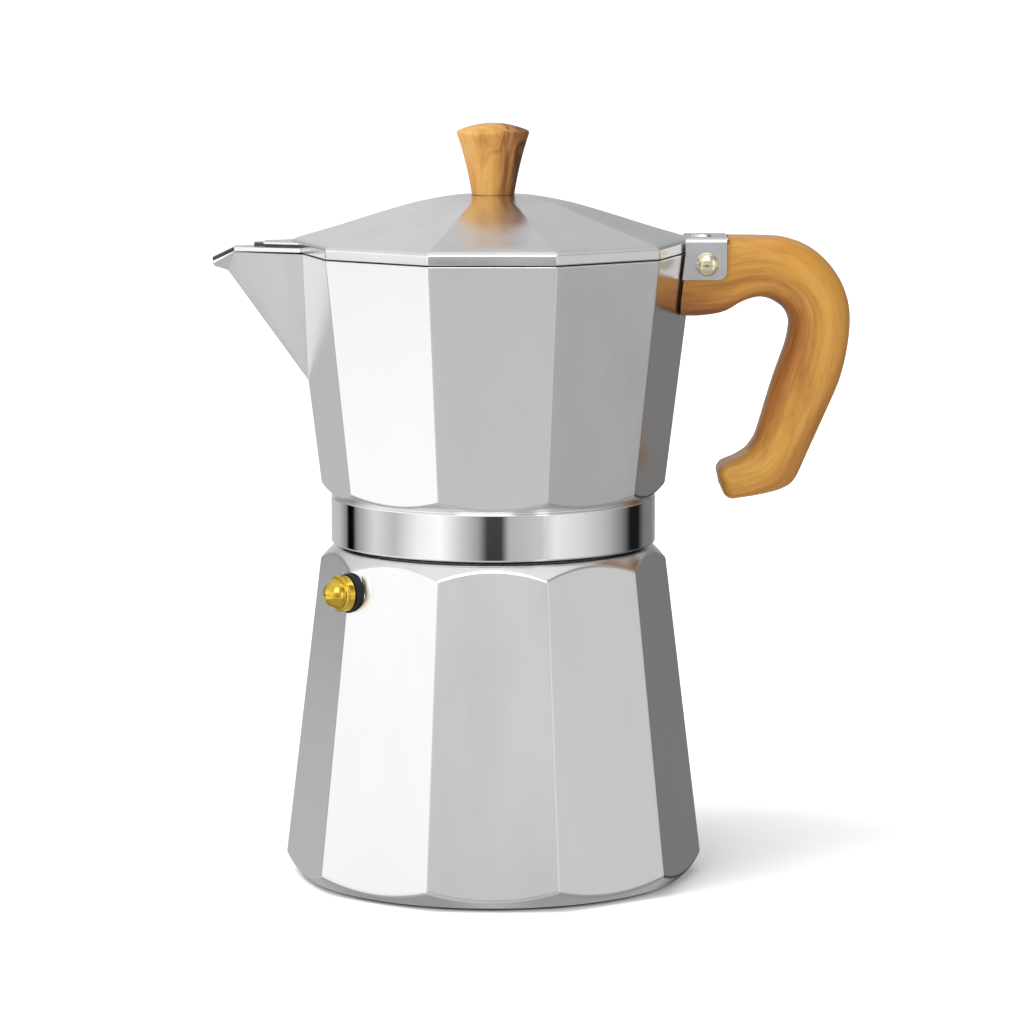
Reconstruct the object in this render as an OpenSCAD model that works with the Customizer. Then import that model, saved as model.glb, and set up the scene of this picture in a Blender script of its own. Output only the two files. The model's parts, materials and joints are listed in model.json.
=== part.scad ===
// Stovetop moka pot with ten flat sides: boiler, filter funnel, screw-on collector with a
// pouring spout, hinged lid, wooden handle and knob, and a spring safety valve.
// +Z is up, the handle is on +X, the spout on -X, and the origin is the middle of the base.

/* [Boiler] */
// Number of flat sides round the pot
sides = 10; // [8:2:10]
// Radius of the boiler across its lowest corners
base_r = 53.4; // [44:0.2:66]
// Height and width of the bevel round the foot
foot_bevel = 4.9; // [2:0.1:6]
// Height of the boiler's shoulder corners
shoulder_z = 81.8; // [66:0.2:100]
// Radius across the shoulder corners
shoulder_r = 44.2; // [43:0.1:50]
// Thickness of the boiler's side at the middle of a flat
boiler_wall = 2.8; // [2:0.1:3.4]
// Thickness of the boiler's floor
boiler_floor = 3; // [2:0.1:4]

/* [Screw neck] */
// Radius of the neck under its thread
neck_r = 36.6; // [30:0.1:37.4]
// Thickness of the neck's wall
neck_wall = 3.2; // [2.4:0.1:4]
// Height of the neck above the shoulder
neck_h = 11.4; // [9.6:0.1:13.8]
// Rise of the thread in one turn
thread_pitch = 3.5; // [3:0.1:4.2]
// Height of each thread ridge
thread_h = 1.3; // [1.1:0.05:1.6]
// Radial gap between a ridge's tip and the other part
thread_clear = 0.7; // [0.5:0.05:0.8]

/* [Collector] */
// Thickness of the skirt outside its thread
skirt_wall = 2.8; // [2.2:0.1:3.2]
// Height of the bright turned skirt
skirt_h = 12.2; // [10:0.1:14.6]
// Gap between the boiler's shoulder and the skirt
skirt_gap = 0.8; // [0.4:0.1:1.6]
// Radius across the collector's lowest corners
waist_r = 43.9; // [42.6:0.1:50]
// Radius across the collector's rim corners
rim_r = 51.2; // [46:0.2:62]
// Height of the collector from the bottom of its skirt to its rim
collector_h = 73.9; // [62:0.1:90]
// Thickness of the collector's side
collector_wall = 2.2; // [1.6:0.1:2.8]
// Thickness of the collector's floor
collector_floor = 2.6; // [2:0.1:4]

/* [Filter and gasket] */
// Thickness of the funnel's sheet and of its rim
funnel_t = 0.7; // [0.5:0.05:1]
// Depth of the coffee cup below the neck's top
cup_depth = 20; // [16:0.5:25]
// Gap between the cup and the neck's bore
cup_gap = 0.4; // [0.3:0.05:0.8]
// Outer radius of the funnel's stem
stem_r = 5.5; // [4.5:0.1:6.6]
// Distance from the stem's end to the boiler's floor
stem_gap = 5; // [3:0.5:10]
// Thickness of the rubber gasket
gasket_t = 3.6; // [2.8:0.1:4.4]
// Width of the gasket's ring
gasket_w = 8.2; // [6.6:0.1:10]
// Thickness of the two perforated discs
plate_t = 0.6; // [0.5:0.05:1]

/* [Riser] */
// Height of the riser column above the collector's floor
riser_h = 46; // [38:0.5:50]
// Radius of the riser's passage
riser_bore_r = 3.4; // [2.8:0.1:4.2]
// Radius of the riser at its top
riser_top_r = 6.4; // [5.4:0.1:7.8]
// Radius of the riser at its foot
riser_foot_r = 8.6; // [7.4:0.1:10.4]

/* [Spout] */
// How far the spout's tip stands out from the rim's corner
spout_reach = 20; // [16:0.2:24]
// Half width of the spout where it meets the rim
spout_half_w = 9.8; // [8:0.1:12]
// Height of the spout on the collector's corner
spout_drop = 32.9; // [27:0.1:40]
// Thickness of the spout's sheet
spout_wall = 1.3; // [1:0.05:1.6]

/* [Lid] */
// Gap between the rim and the closed lid
lid_gap = 0.25; // [0.2:0.05:0.5]
// Height of the lid's upright edge
lid_edge_h = 2.45; // [2:0.05:3]
// Height of the lid's dome above its edge
lid_rise = 11.7; // [9.6:0.1:14.2]
// Thickness of the lid
lid_t = 1.6; // [1.2:0.1:2]
// Radius of the knob where it stands on the lid
knob_foot_r = 5.4; // [5:0.1:5.5]
// Largest radius of the knob
knob_r = 9.2; // [7.6:0.1:11.1]
// Height of the knob
knob_h = 18.2; // [15:0.1:22]
// Radius of the knob's screw
knob_screw_r = 1.5; // [1.2:0.1:1.8]

/* [Handle and hinge] */
// Thickness of the wooden handle
handle_t = 18; // [15:0.2:21.6]
// Height of the handle from its lowest point to its top
handle_h = 66.5; // [55:0.5:80]
// Distance from the pot's rim corner to the outside of the handle
handle_reach = 39.2; // [32:0.2:47]
// Thickness of the saddle bracket's sheet
saddle_t = 0.9; // [0.7:0.05:1.1]
// Depth of the saddle bracket's two ears
ear_h = 10.5; // [10:0.1:12.6]
// Length of the saddle bracket's ears
ear_l = 10.4; // [10:0.1:12.5]
// Radius of the hinge pin
pin_r = 0.75; // [0.6:0.05:0.9]
// Radial running clearance on the hinge pin
pin_clear = 0.05; // [0.02:0.01:0.1]
// Width of the lid's hinge knuckle
knuckle_w = 8; // [6.6:0.2:9.6]
// Radius of the handle rivet's shank
rivet_r = 1.5; // [1.2:0.1:1.8]
// Radius of the rivet's domed heads
rivet_head_r = 3; // [2.6:0.1:3.6]
// Thickness of the cast lug that enters the handle
lug_t = 6; // [5:0.1:7.2]

/* [Safety valve] */
// Height of the valve above the base
valve_z = 76.6; // [62:0.1:76.8]
// Radius of the valve's threaded stub
valve_stub_r = 3; // [2.5:0.1:3.6]
// Radius of the valve's flange
valve_flange_r = 4.6; // [4:0.1:4.8]
// Thickness of the valve's flange
valve_flange_t = 2.6; // [2.2:0.1:3.1]
// Radius of the valve's dome
valve_dome_r = 3.8; // [3.4:0.1:3.9]
// Thickness of the sealing washer
valve_seal_t = 2.2; // [1.8:0.1:2.6]
// Travel of the valve's poppet
valve_travel = 1.5; // [1:0.1:1.6]

/* [Hidden] */
$fn = 96;
eps = 0.02;

// A flat's distance from the axis is this share of its corner's
flat_k = cos(180 / sides);
flat_tan = tan(180 / sides);

// Heights, from the base up
skirt_root_r = neck_r + thread_h + thread_clear;
band_r = skirt_root_r + skirt_wall;
lip_r = band_r - 1;
lip_z = shoulder_z + shoulder_r - lip_r;
neck_bore_r = neck_r - neck_wall;
neck_top = lip_z + neck_h;
gasket_r = neck_r - 0.4;
gasket_hole_r = gasket_r - gasket_w;
band_z = lip_z + skirt_gap;
band_top = band_z + skirt_h;
gasket_z = neck_top + funnel_t;
ceiling_z = gasket_z + gasket_t + 0.05;
floor_z = ceiling_z + collector_floor;
waist_slope = 0.78;
waist_z = band_top + 0.4 + (waist_r - band_r) * waist_slope;
rim_z = band_z + collector_h;
lid_z = rim_z + lid_gap;
lid_top_z = lid_z + lid_edge_h + lid_rise;

// Corner radius of the two tapered shells at a height
function boiler_r(z) = base_r + (shoulder_r - base_r) * (z - foot_bevel) / (shoulder_z - foot_bevel);
function collector_r(z) = waist_r + (rim_r - waist_r) * (z - waist_z) / (rim_z - waist_z);

// A straight-sided tapered block with the pot's number of sides
module taper(z1, r1, z2, r2) {
    translate([0, 0, z1]) cylinder(h = z2 - z1, r1 = r1, r2 = r2, $fn = sides);
}

// A lathe-turned form, begun a little off the corners so that no edge starts on one
module turned() {
    rotate([0, 0, 10]) rotate_extrude() children();
}

// A ring or disc standing on a height, turned like the lathe-turned forms
module tube(z, h, r, bore = 0) {
    translate([0, 0, z]) rotate([0, 0, 17]) difference() {
        cylinder(h = h, r = r);
        if (bore > 0) translate([0, 0, -1]) cylinder(h = h + 2, r = bore);
    }
}

// Screw thread: one ridge swept along a right-hand helix, from r_root out or in to r_tip
ridge_root = 1.15;
ridge_tip = 0.4;
ridge_steps = 40;
module thread_ridge(z, turns, r_root, r_tip) {
    n = round(turns * ridge_steps);
    side = r_tip > r_root ? 1 : -1;
    points = [for (i = [0 : n])
        let (a = 360 * i / ridge_steps, fade = min(1, (i + 1) / 6, (n - i + 1) / 6),
            tip = r_root + (r_tip - r_root) * fade, zi = z + thread_pitch * i / ridge_steps,
            half = ridge_root - (ridge_root - ridge_tip) * fade)
        for (p = [[r_root, -ridge_root], [tip, -half], [tip, half], [r_root, ridge_root]])
            [p.x * cos(a), p.x * sin(a), zi + p.y]];
    strip = [for (i = [0 : n - 1]) for (j = [0 : 3])
        let (a = 4 * i + j, b = 4 * i + (j + 1) % 4)
        for (f = [[a, b, b + 4], [a, b + 4, a + 4]]) f];
    ends = [[0, 2, 1], [0, 3, 2], [4 * n, 4 * n + 1, 4 * n + 2], [4 * n, 4 * n + 2, 4 * n + 3]];
    all = concat(strip, ends);
    polyhedron(points, side > 0 ? all : [for (f = all) [f[2], f[1], f[0]]]);
}
thread_z = lip_z + 2.4;
male_turns = (neck_h - 4.4) / thread_pitch;
female_turns = min(male_turns, (band_top - thread_z - thread_pitch / 2 - 2.2) / thread_pitch);

// Safety valve: it stands on the corner of the boiler that is one side forward of the spout
valve_a = 180 + 360 / sides;
valve_dir = [cos(valve_a), sin(valve_a), 0];
valve_seat = boiler_r(valve_z) - 1.6;
valve_hole_gap = 0.08;
boss_s = boiler_r(valve_z) * flat_k - boiler_wall - 0.8;
nut_t = 2.6;
nut_r = valve_stub_r + 2.1;
spot_t = 0.4;
stub_s = boss_s - nut_t - 0.8;
flange_s = valve_seat + valve_seal_t;
dome_s = flange_s + valve_flange_t;
orifice_r = 1.1;
chamber_r = 2.3;
poppet_s = flange_s - 2.6;
spring_r = 1.45;
wire_r = 0.2;
// Turns the +Z axis of its child into the valve's axis
module on_valve() {
    translate([0, 0, valve_z]) rotate([0, 0, valve_a]) rotate([0, 90, 0]) children();
}

module boiler() {
    wall_top = shoulder_z - 3.3;
    wall_r = boiler_r(wall_top) * flat_k - boiler_wall;
    wall_foot = boiler_r(boiler_floor + 4) * flat_k - boiler_wall;
    color("silver") {
        difference() {
            union() {
                intersection() {
                    taper(0, boiler_r(0), lip_z, boiler_r(lip_z));
                    turned() polygon([[0, 0], [base_r - foot_bevel, 0],
                        [base_r + 4, foot_bevel + 4], [base_r + 4, lip_z - base_r - 4 + lip_r],
                        [lip_r, lip_z], [0, lip_z]]);
                }
                tube(lip_z - 1, neck_h + 1, neck_r);
            }
            difference() {
                turned() polygon([[0, boiler_floor], [wall_foot - 4, boiler_floor],
                    [wall_foot, boiler_floor + 4], [wall_r, wall_top],
                    [neck_bore_r, wall_top + (wall_r - neck_bore_r) * 0.75],
                    [neck_bore_r, neck_top + 1], [0, neck_top + 1]]);
                on_valve() tube(boss_s - spot_t, valve_seat - boss_s, valve_flange_r + 2.2);
            }
            on_valve() tube(boss_s - 1, valve_seat - boss_s + 2, valve_stub_r + valve_hole_gap);
            on_valve() tube(valve_seat, 10, valve_flange_r + 0.5);
            // pocket and spot face for the nut
            on_valve() tube(stub_s - 1, boss_s - stub_s + 1, nut_r + 0.5);
        }
        thread_ridge(thread_z, male_turns, neck_r - 0.3, neck_r + thread_h);
    }
}

// The coffee funnel: a deep cup with a sloping bottom, a thin stem and a perforated floor
cup_r = neck_bore_r - cup_gap;
cup_z = neck_top - cup_depth;
cone_h = 11;
collar_h = 4;
cone_z = cup_z - cone_h;
module funnel_cup() {
    collar_r = stem_r + eps;
    color("gainsboro") rotate_extrude() polygon([
        [collar_r, cone_z - collar_h], [collar_r + funnel_t, cone_z - collar_h],
        [collar_r + funnel_t, cone_z], [cup_r, cup_z], [cup_r, neck_top],
        [neck_r - 0.6, neck_top], [neck_r - 0.6, neck_top + funnel_t],
        [cup_r - funnel_t, neck_top + funnel_t], [cup_r - funnel_t, cup_z + 0.4],
        [collar_r, cone_z + 0.4]]);
}

module funnel_stem() {
    foot_z = boiler_floor + stem_gap;
    color("gainsboro") tube(foot_z, cone_z - 0.2 - foot_z, stem_r, stem_r - funnel_t);
}

// Holes on rings, six more on each ring than on the one inside it
module hole_rings(r_max, spacing, hole_r) {
    cylinder(h = 10, r = hole_r, center = true, $fn = 24);
    for (ring = [1 : floor(r_max / spacing)]) for (i = [0 : 6 * ring - 1])
        rotate([0, 0, 60 * i / ring]) translate([spacing * ring, 0, 0])
            cylinder(h = 10, r = hole_r, center = true, $fn = 24);
}

module funnel_grid() {
    color("silver") translate([0, 0, cup_z + 0.6]) difference() {
        cylinder(h = plate_t, r = cup_r - funnel_t - 0.1);
        hole_rings(cup_r - funnel_t - 4, 5.6, 0.9);
    }
}

// Dished filter plate, held up against the collector by the gasket's inner edge
plate_flange = 3.2;
module filter_plate() {
    face_r = gasket_hole_r - 0.3;
    face_z = gasket_z + 1.2;
    flange_z = ceiling_z - 0.05 - plate_t;
    color("silver") difference() {
        rotate_extrude() polygon([[0, face_z], [face_r, face_z], [face_r, flange_z],
            [gasket_hole_r + plate_flange, flange_z],
            [gasket_hole_r + plate_flange, flange_z + plate_t],
            [face_r - plate_t, flange_z + plate_t], [face_r - plate_t, face_z + plate_t],
            [0, face_z + plate_t]]);
        translate([0, 0, face_z]) hole_rings(face_r - 3, 4.8, 0.7);
    }
}

module gasket() {
    rebate_z = ceiling_z - 0.1 - plate_t;
    rebate_r = gasket_hole_r + plate_flange + 0.1;
    color("whitesmoke") rotate_extrude() polygon([[gasket_hole_r, gasket_z + eps],
        [gasket_r, gasket_z + eps], [gasket_r, ceiling_z - 0.05],
        [rebate_r, ceiling_z - 0.05], [rebate_r, rebate_z], [gasket_hole_r, rebate_z]]);
}

module valve_seal() {
    color("#26242a") on_valve()
        tube(valve_seat, valve_seal_t, valve_flange_r + 0.2, valve_stub_r + valve_hole_gap);
}

module valve_body() {
    color("goldenrod") on_valve() difference() {
        union() {
            tube(stub_s, dome_s - stub_s, valve_stub_r);
            tube(flange_s, valve_flange_t, valve_flange_r);
        }
        tube(stub_s - 1, 20, orifice_r);
        tube(poppet_s - eps, 20, chamber_r);
    }
}

module valve_nut() {
    color("goldenrod") on_valve() translate([0, 0, boss_s - nut_t]) difference() {
        cylinder(h = nut_t, r = nut_r, $fn = 6);
        translate([0, 0, -1]) cylinder(h = nut_t + 2, r = valve_stub_r + eps);
    }
}

poppet_t = 1;
module valve_poppet() {
    stem_end = dome_s + valve_dome_r - 1 - valve_travel - 0.6;
    color("silver") on_valve() {
        tube(poppet_s, poppet_t, chamber_r - 0.2);
        tube(poppet_s, stem_end - poppet_s, 0.8);
    }
}

module valve_spring() {
    s0 = poppet_s + poppet_t + wire_r + 0.05;
    s1 = dome_s + 2 - wire_r;
    coils = 5;
    steps = 14;
    ring = 6;
    n = coils * steps;
    points = [for (i = [0 : n]) let (a = 360 * i / steps, s = s0 + (s1 - s0) * i / n)
        for (j = [0 : ring - 1]) let (b = 360 * j / ring, r = spring_r + wire_r * cos(b))
            [r * cos(a), r * sin(a), s + wire_r * sin(b)]];
    walls = [for (i = [0 : n - 1]) for (j = [0 : ring - 1])
        let (a = ring * i + j, b = ring * i + (j + 1) % ring)
        for (f = [[a, b + ring, b], [a, a + ring, b + ring]]) f];
    ends = [for (j = [1 : ring - 2]) for (f = [[0, j, j + 1],
        [n * ring, n * ring + j + 1, n * ring + j]]) f];
    color("lightgray") on_valve() polyhedron(points, concat(walls, ends));
}

module valve_cap() {
    color("gold") on_valve() translate([0, 0, dome_s]) difference() {
        intersection() {
            sphere(r = valve_dome_r);
            cylinder(h = valve_dome_r + 1, r = valve_dome_r + 1);
        }
        sphere(r = valve_dome_r - 1);
        // vent, facing down
        translate([0, 0, 1.6]) rotate([0, 90, 0]) cylinder(h = 10, r = 0.5);
    }
}

// Spout: the ridge runs up the pot's corner and out to the lip. The channel inside it is
// the same shape, moved towards the pot.
spout_top = rim_z - 0.1;
spout_foot_z = rim_z - spout_drop;
spout_foot_x = collector_r(spout_foot_z);
spout_root_x = rim_r - spout_half_w * flat_tan - 0.1;
tip_x = rim_r + spout_reach;
tip_z = spout_top - 3;
throat_x = tip_x - 3.8;
throat_z = tip_z - 1.7;
brow_x = tip_x - 5.6;
brow_w = spout_half_w * 0.27;
tip_w = 0.9;
spout_shift = spout_wall * sqrt(1 + pow((tip_x - spout_root_x) / spout_half_w, 2));
module dots(points) {
    hull() for (p = points) for (m = [-1, 1]) translate([-p[0], m * p[1], p[2]])
        cube(0.01, center = true);
}
module spout_form(lift = 0) {
    dots([[spout_root_x, spout_half_w, spout_top + lift], [spout_foot_x, 0, spout_foot_z],
        [throat_x, 0, throat_z], [brow_x, brow_w, spout_top + lift],
        [spout_root_x - 8, spout_half_w, spout_top + lift], [spout_foot_x - 8, 0, spout_foot_z]]);
    dots([[throat_x, 0, throat_z], [brow_x, brow_w, spout_top + lift],
        [brow_x, brow_w, spout_top - 2], [tip_x, tip_w, tip_z + lift],
        [tip_x - 0.6, 0.3, tip_z - 0.7]]);
}
module spout_channel() {
    translate([spout_shift, 0, 0.6]) spout_form(6);
}

module spout() {
    color("#b9b8b8") difference() {
        spout_form();
        spout_channel();
        taper(waist_z, waist_r + eps, rim_z + 6, collector_r(rim_z + 6) + eps);
    }
}

// Hinge and handle places, all set out from the rim's corner on the handle side
saddle_top = lid_z + lid_edge_h + 1.3;
knuckle_r = 1.6;
hinge_x = rim_r + 2.2;
hinge_z = saddle_top - knuckle_r;
saddle_half = handle_t / 2 + 0.1;
saddle_out = saddle_half + saddle_t;
saddle_end = rim_r + 8.1;
saddle_gap = 0.6;
rivet_x = rim_r + 2.8;
rivet_z = rim_z - 2.6;
lug_end = rivet_x + 5.5;
lug_h = 13;

module lug_block(grow) {
    translate([rim_r - 6, -lug_t / 2 - grow, rim_z - lug_h - grow])
        cube([lug_end - rim_r + 6 + grow, lug_t + 2 * grow, lug_h + grow]);
}

module collector() {
    in = collector_wall / flat_k;
    color("silver") {
        difference() {
            union() {
                intersection() {
                    taper(band_top - 1, collector_r(band_top - 1), rim_z, rim_r);
                    turned() polygon([[0, band_top - 1], [band_r - 0.4, band_top - 1],
                        [band_r - 0.4, band_top + 0.4 - 0.4 * waist_slope],
                        [rim_r + 4, band_top + 0.4 + (rim_r + 4 - band_r) * waist_slope],
                        [rim_r + 4, rim_z], [0, rim_z]]);
                }
                tube(band_z, skirt_h, band_r);
                lug_block(0);
            }
            taper(floor_z, collector_r(floor_z) - in, rim_z + 2, collector_r(rim_z + 2) - in);
            spout_channel();
            tube(band_z - 1, neck_top + 0.6 - band_z + 1, skirt_root_r);
            tube(neck_top, ceiling_z - neck_top, gasket_r + 0.3);
            tube(ceiling_z - 1, collector_floor + 2, riser_foot_r - 2.6);
            translate([rivet_x, 0, rivet_z]) rotate([90, 0, 0])
                cylinder(h = 2 * lug_t, r = rivet_r + 0.1, center = true);
        }
        thread_ridge(thread_z + thread_pitch / 2, female_turns,
            skirt_root_r + 0.3, skirt_root_r - thread_h);
    }
}

riser_top = floor_z + riser_h;
module riser_column() {
    spigot_r = riser_foot_r - 2.6 - eps;
    color("silver") rotate_extrude() polygon([[riser_bore_r, ceiling_z + 0.1],
        [spigot_r, ceiling_z + 0.1], [spigot_r, floor_z], [riser_foot_r + 1, floor_z],
        [riser_foot_r + 1, floor_z + 1.2], [riser_foot_r, floor_z + 1.2],
        [riser_top_r, riser_top], [riser_bore_r, riser_top]]);
}

module riser_cap() {
    plug_r = riser_bore_r - eps;
    bore = riser_bore_r - 0.8;
    color("silver") difference() {
        rotate_extrude() polygon([[bore, riser_top - 6], [plug_r, riser_top - 6],
            [plug_r, riser_top], [riser_top_r + 0.5, riser_top],
            [riser_top_r + 0.5, riser_top + 3], [riser_top_r - 1.4, riser_top + 5],
            [0, riser_top + 5.4], [0, riser_top + 3.8], [bore, riser_top + 3.4]]);
        translate([0, 0, riser_top + 1.9]) rotate([90, 0, 0])
            cylinder(h = 30, r = 1.4, center = true);
    }
}

// Heights of the lid's crease above its edge, as shares of its radius and of its rise
lid_curve = [[1, 0], [0.965, 0.09], [0.8, 0.3], [0.565, 0.62], [0.39, 0.84],
    [0.27, 0.94], [0.18, 0.99], [0.12, 1], [0, 1]];
lid_edge_z = lid_z + lid_edge_h;
module lid() {
    outer = [for (p = lid_curve) [rim_r * p[0], lid_edge_z + lid_rise * p[1]]];
    inner = [for (i = [len(lid_curve) - 1 : -1 : 1]) let (p = lid_curve[i])
        [min(rim_r * p[0], rim_r - lid_t - 0.3), lid_edge_z + lid_rise * p[1] - lid_t]];
    color("silver") difference() {
        union() {
            rotate_extrude($fn = sides) polygon(concat([[rim_r - lid_t - 0.3, lid_z],
                [rim_r, lid_z]], outer, inner));
            translate([hinge_x, 0, hinge_z]) rotate([90, 0, 0])
                cylinder(h = knuckle_w, r = knuckle_r, center = true);
            translate([rim_r - 1.4, -knuckle_w / 2, hinge_z - 1.2])
                cube([hinge_x - rim_r + 1.4, knuckle_w, 1.6]);
        }
        translate([hinge_x, 0, hinge_z]) rotate([90, 0, 0])
            cylinder(h = knuckle_w + 2, r = pin_r + pin_clear, center = true);
        cylinder(h = 400, r = knob_screw_r + 0.1);
    }
}

// Roof over the spout: a flat plate with a raised middle, fixed to the lid's edge
cover_t = 1.1;
hat_h = 1.3;
module spout_cover() {
    z = spout_top + lid_gap + 0.1;
    over = 0.2;
    color("#a8a7a7") difference() {
        union() {
            dots([[spout_root_x - 4, spout_half_w + over, z], [brow_x, brow_w + over, z],
                [spout_root_x - 4, spout_half_w + over, z + cover_t],
                [brow_x, brow_w + over, z + cover_t]]);
            dots([[brow_x, brow_w + over, z], [brow_x, brow_w + over, z + cover_t],
                [tip_x, tip_w + over, tip_z + lid_gap + 0.4],
                [tip_x, tip_w + over, tip_z + lid_gap + 0.4 + cover_t]]);
            dots([[spout_root_x - 4, spout_half_w - 1, z + 0.5],
                [brow_x - 1, brow_w - 0.6, z + 0.5],
                [spout_root_x - 4, spout_half_w - 1, z + cover_t + hat_h],
                [brow_x - 5, brow_w + 0.4, z + cover_t + hat_h]]);
        }
        taper(rim_z - 8, rim_r + eps, rim_z + 12, rim_r + eps);
    }
}

module knob_washer() {
    color("silver") tube(lid_top_z - lid_t - plate_t - eps, plate_t, knob_screw_r + 2.7,
        knob_screw_r + 0.1);
}

module knob_screw() {
    head_z = lid_top_z - lid_t - plate_t - 2 * eps;
    color("silver") difference() {
        union() {
            tube(head_z - 1.6, 1.6, knob_screw_r + 1.6);
            tube(head_z - 1, 1 + lid_t + plate_t + 10, knob_screw_r);
        }
        translate([0, 0, head_z - 1.6]) cube([9, 0.8, 1.4], center = true);
    }
}

module lid_knob() {
    neck = [for (i = [0 : 12]) let (t = i / 12)
        [knob_foot_r + (knob_r - knob_foot_r) * (0.62 * t + 0.38 * t * t),
            0.86 * knob_h * t]];
    crown = [for (i = [1 : 12]) let (a = 90 * i / 12)
        [knob_r - 1.2 + 1.2 * cos(a), 0.86 * knob_h + 1 * sin(a)]];
    dome = [for (i = [1 : 8]) let (t = 1 - i / 8)
        [(knob_r - 1.2) * t, 0.86 * knob_h + 1 + (0.14 * knob_h - 1) * (1 - t * t)]];
    color("burlywood") translate([0, 0, lid_top_z]) difference() {
        rotate_extrude() polygon(concat([[0, 0]], neck, crown, dome));
        translate([0, 0, -1]) cylinder(h = 1 + 11.5, r = knob_screw_r + eps);
    }
}

module saddle_bracket() {
    front = rim_r - (saddle_out + 2) * flat_tan;
    ear_front = rim_r - saddle_out * flat_tan;
    ear_end = ear_front + ear_l + saddle_gap;
    corner = 2;
    w = ear_end - front;
    color("silver") difference() {
        union() {
            difference() {
                union() {
                    for (side = [-1, 1]) translate([0, side * (saddle_half + saddle_t / 2), 0])
                        rotate([90, 0, 0]) translate([front, saddle_top - ear_h, 0])
                            linear_extrude(saddle_t, center = true) {
                                translate([0, corner]) square([w, ear_h - corner - 1]);
                                square([w - corner, ear_h - 1]);
                                translate([w - corner, corner]) circle(corner);
                            }
                    translate([front, -saddle_out + 1, saddle_top - saddle_t])
                        cube([saddle_end - front, 2 * saddle_out - 2, saddle_t]);
                    for (side = [-1, 1]) intersection() {
                        translate([front, side * (saddle_out - 1), saddle_top - 1])
                            rotate([0, 90, 0]) difference() {
                                cylinder(h = w, r = 1);
                                translate([0, 0, -1]) cylinder(h = w + 2, r = 1 - saddle_t);
                            }
                        translate([front, side > 0 ? saddle_out - 1 : -saddle_out,
                            saddle_top - 1]) cube([w, 1, 1]);
                    }
                }
                translate([rim_r - 20, -knuckle_w / 2 - 0.35, saddle_top - 5])
                    cube([hinge_x + knuckle_r + 20.4 - rim_r, knuckle_w + 0.7, 10]);
            }
            for (side = [-1, 1]) translate([hinge_x, side * (saddle_half + knuckle_w / 2 + 0.3) / 2,
                hinge_z]) rotate([90, 0, 0])
                cylinder(h = saddle_half - knuckle_w / 2 - 0.3, r = knuckle_r, center = true);
        }
        taper(saddle_top - ear_h - 4, collector_r(saddle_top - ear_h - 4) + saddle_gap,
            rim_z, rim_r + saddle_gap);
        taper(rim_z - 0.01, rim_r + saddle_gap, rim_z + 20, rim_r + saddle_gap);
        translate([hinge_x, 0, hinge_z]) rotate([90, 0, 0])
            cylinder(h = 2 * saddle_half - 0.6, r = pin_r + eps, center = true);
        translate([rivet_x, 0, rivet_z]) rotate([90, 0, 0])
            cylinder(h = 60, r = rivet_r + 0.1, center = true);
    }
}

module hinge_pin() {
    color("lightgray") translate([hinge_x, 0, hinge_z]) rotate([90, 0, 0])
        cylinder(h = 2 * saddle_half - 0.8, r = pin_r, center = true);
}

module handle_rivet() {
    reach = saddle_out + eps;
    head_h = 1.6;
    ball = (rivet_head_r * rivet_head_r + head_h * head_h) / (2 * head_h);
    color("#b7a97c") translate([rivet_x, 0, rivet_z]) rotate([90, 0, 0]) {
        cylinder(h = 2 * reach, r = rivet_r, center = true);
        for (side = [0, 1]) mirror([0, 0, side]) translate([0, 0, reach]) intersection() {
            cylinder(h = head_h + 1, r = rivet_head_r);
            translate([0, 0, head_h - ball]) sphere(r = ball);
        }
    }
}

// Handle outline, clockwise from the top by the saddle: [share of reach, share of height]
handle_points = [[0, 1], [0.17, 1], [0.4, 1], [0.57, 0.995], [0.72, 0.965], [0.85, 0.905],
    [0.95, 0.82], [1, 0.72], [0.995, 0.6], [0.945, 0.46], [0.855, 0.33], [0.73, 0.165],
    [0.645, 0.06], [0.575, 0.035], [0.42, 0.012], [0.275, 0], [0.21, 0.03], [0.165, 0.1],
    [0.2, 0.135], [0.33, 0.18], [0.4, 0.25], [0.46, 0.37], [0.53, 0.5], [0.59, 0.6],
    [0.605, 0.67], [0.585, 0.715], [0.51, 0.75], [0.4, 0.77], [0.3, 0.755], [0.18, 0.715],
    [0.05, 0.7]];
// A smooth closed curve through the points
function smooth_at(p, i, t) = let (n = len(p), a = p[(i + n - 1) % n], b = p[i],
    c = p[(i + 1) % n], d = p[(i + 2) % n])
    0.5 * (2 * b + (c - a) * t + (2 * a - 5 * b + 4 * c - d) * t * t
        + (3 * b - a - 3 * c + d) * t * t * t);
module handle_outline() {
    x0 = rim_r;
    z0 = saddle_top - handle_h;
    p = [for (q = handle_points) [x0 + handle_reach * q[0], z0 + handle_h * q[1]]];
    curve = [for (i = [1 : len(p) - 2]) for (t = [0, 0.34, 0.67]) smooth_at(p, i, t)];
    root = saddle_top - handle_h * 0.3;
    polygon(concat([[x0 - 9, root], [x0 - 9, saddle_top], [x0, saddle_top]],
        curve, [p[len(p) - 1]]));
}

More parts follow.
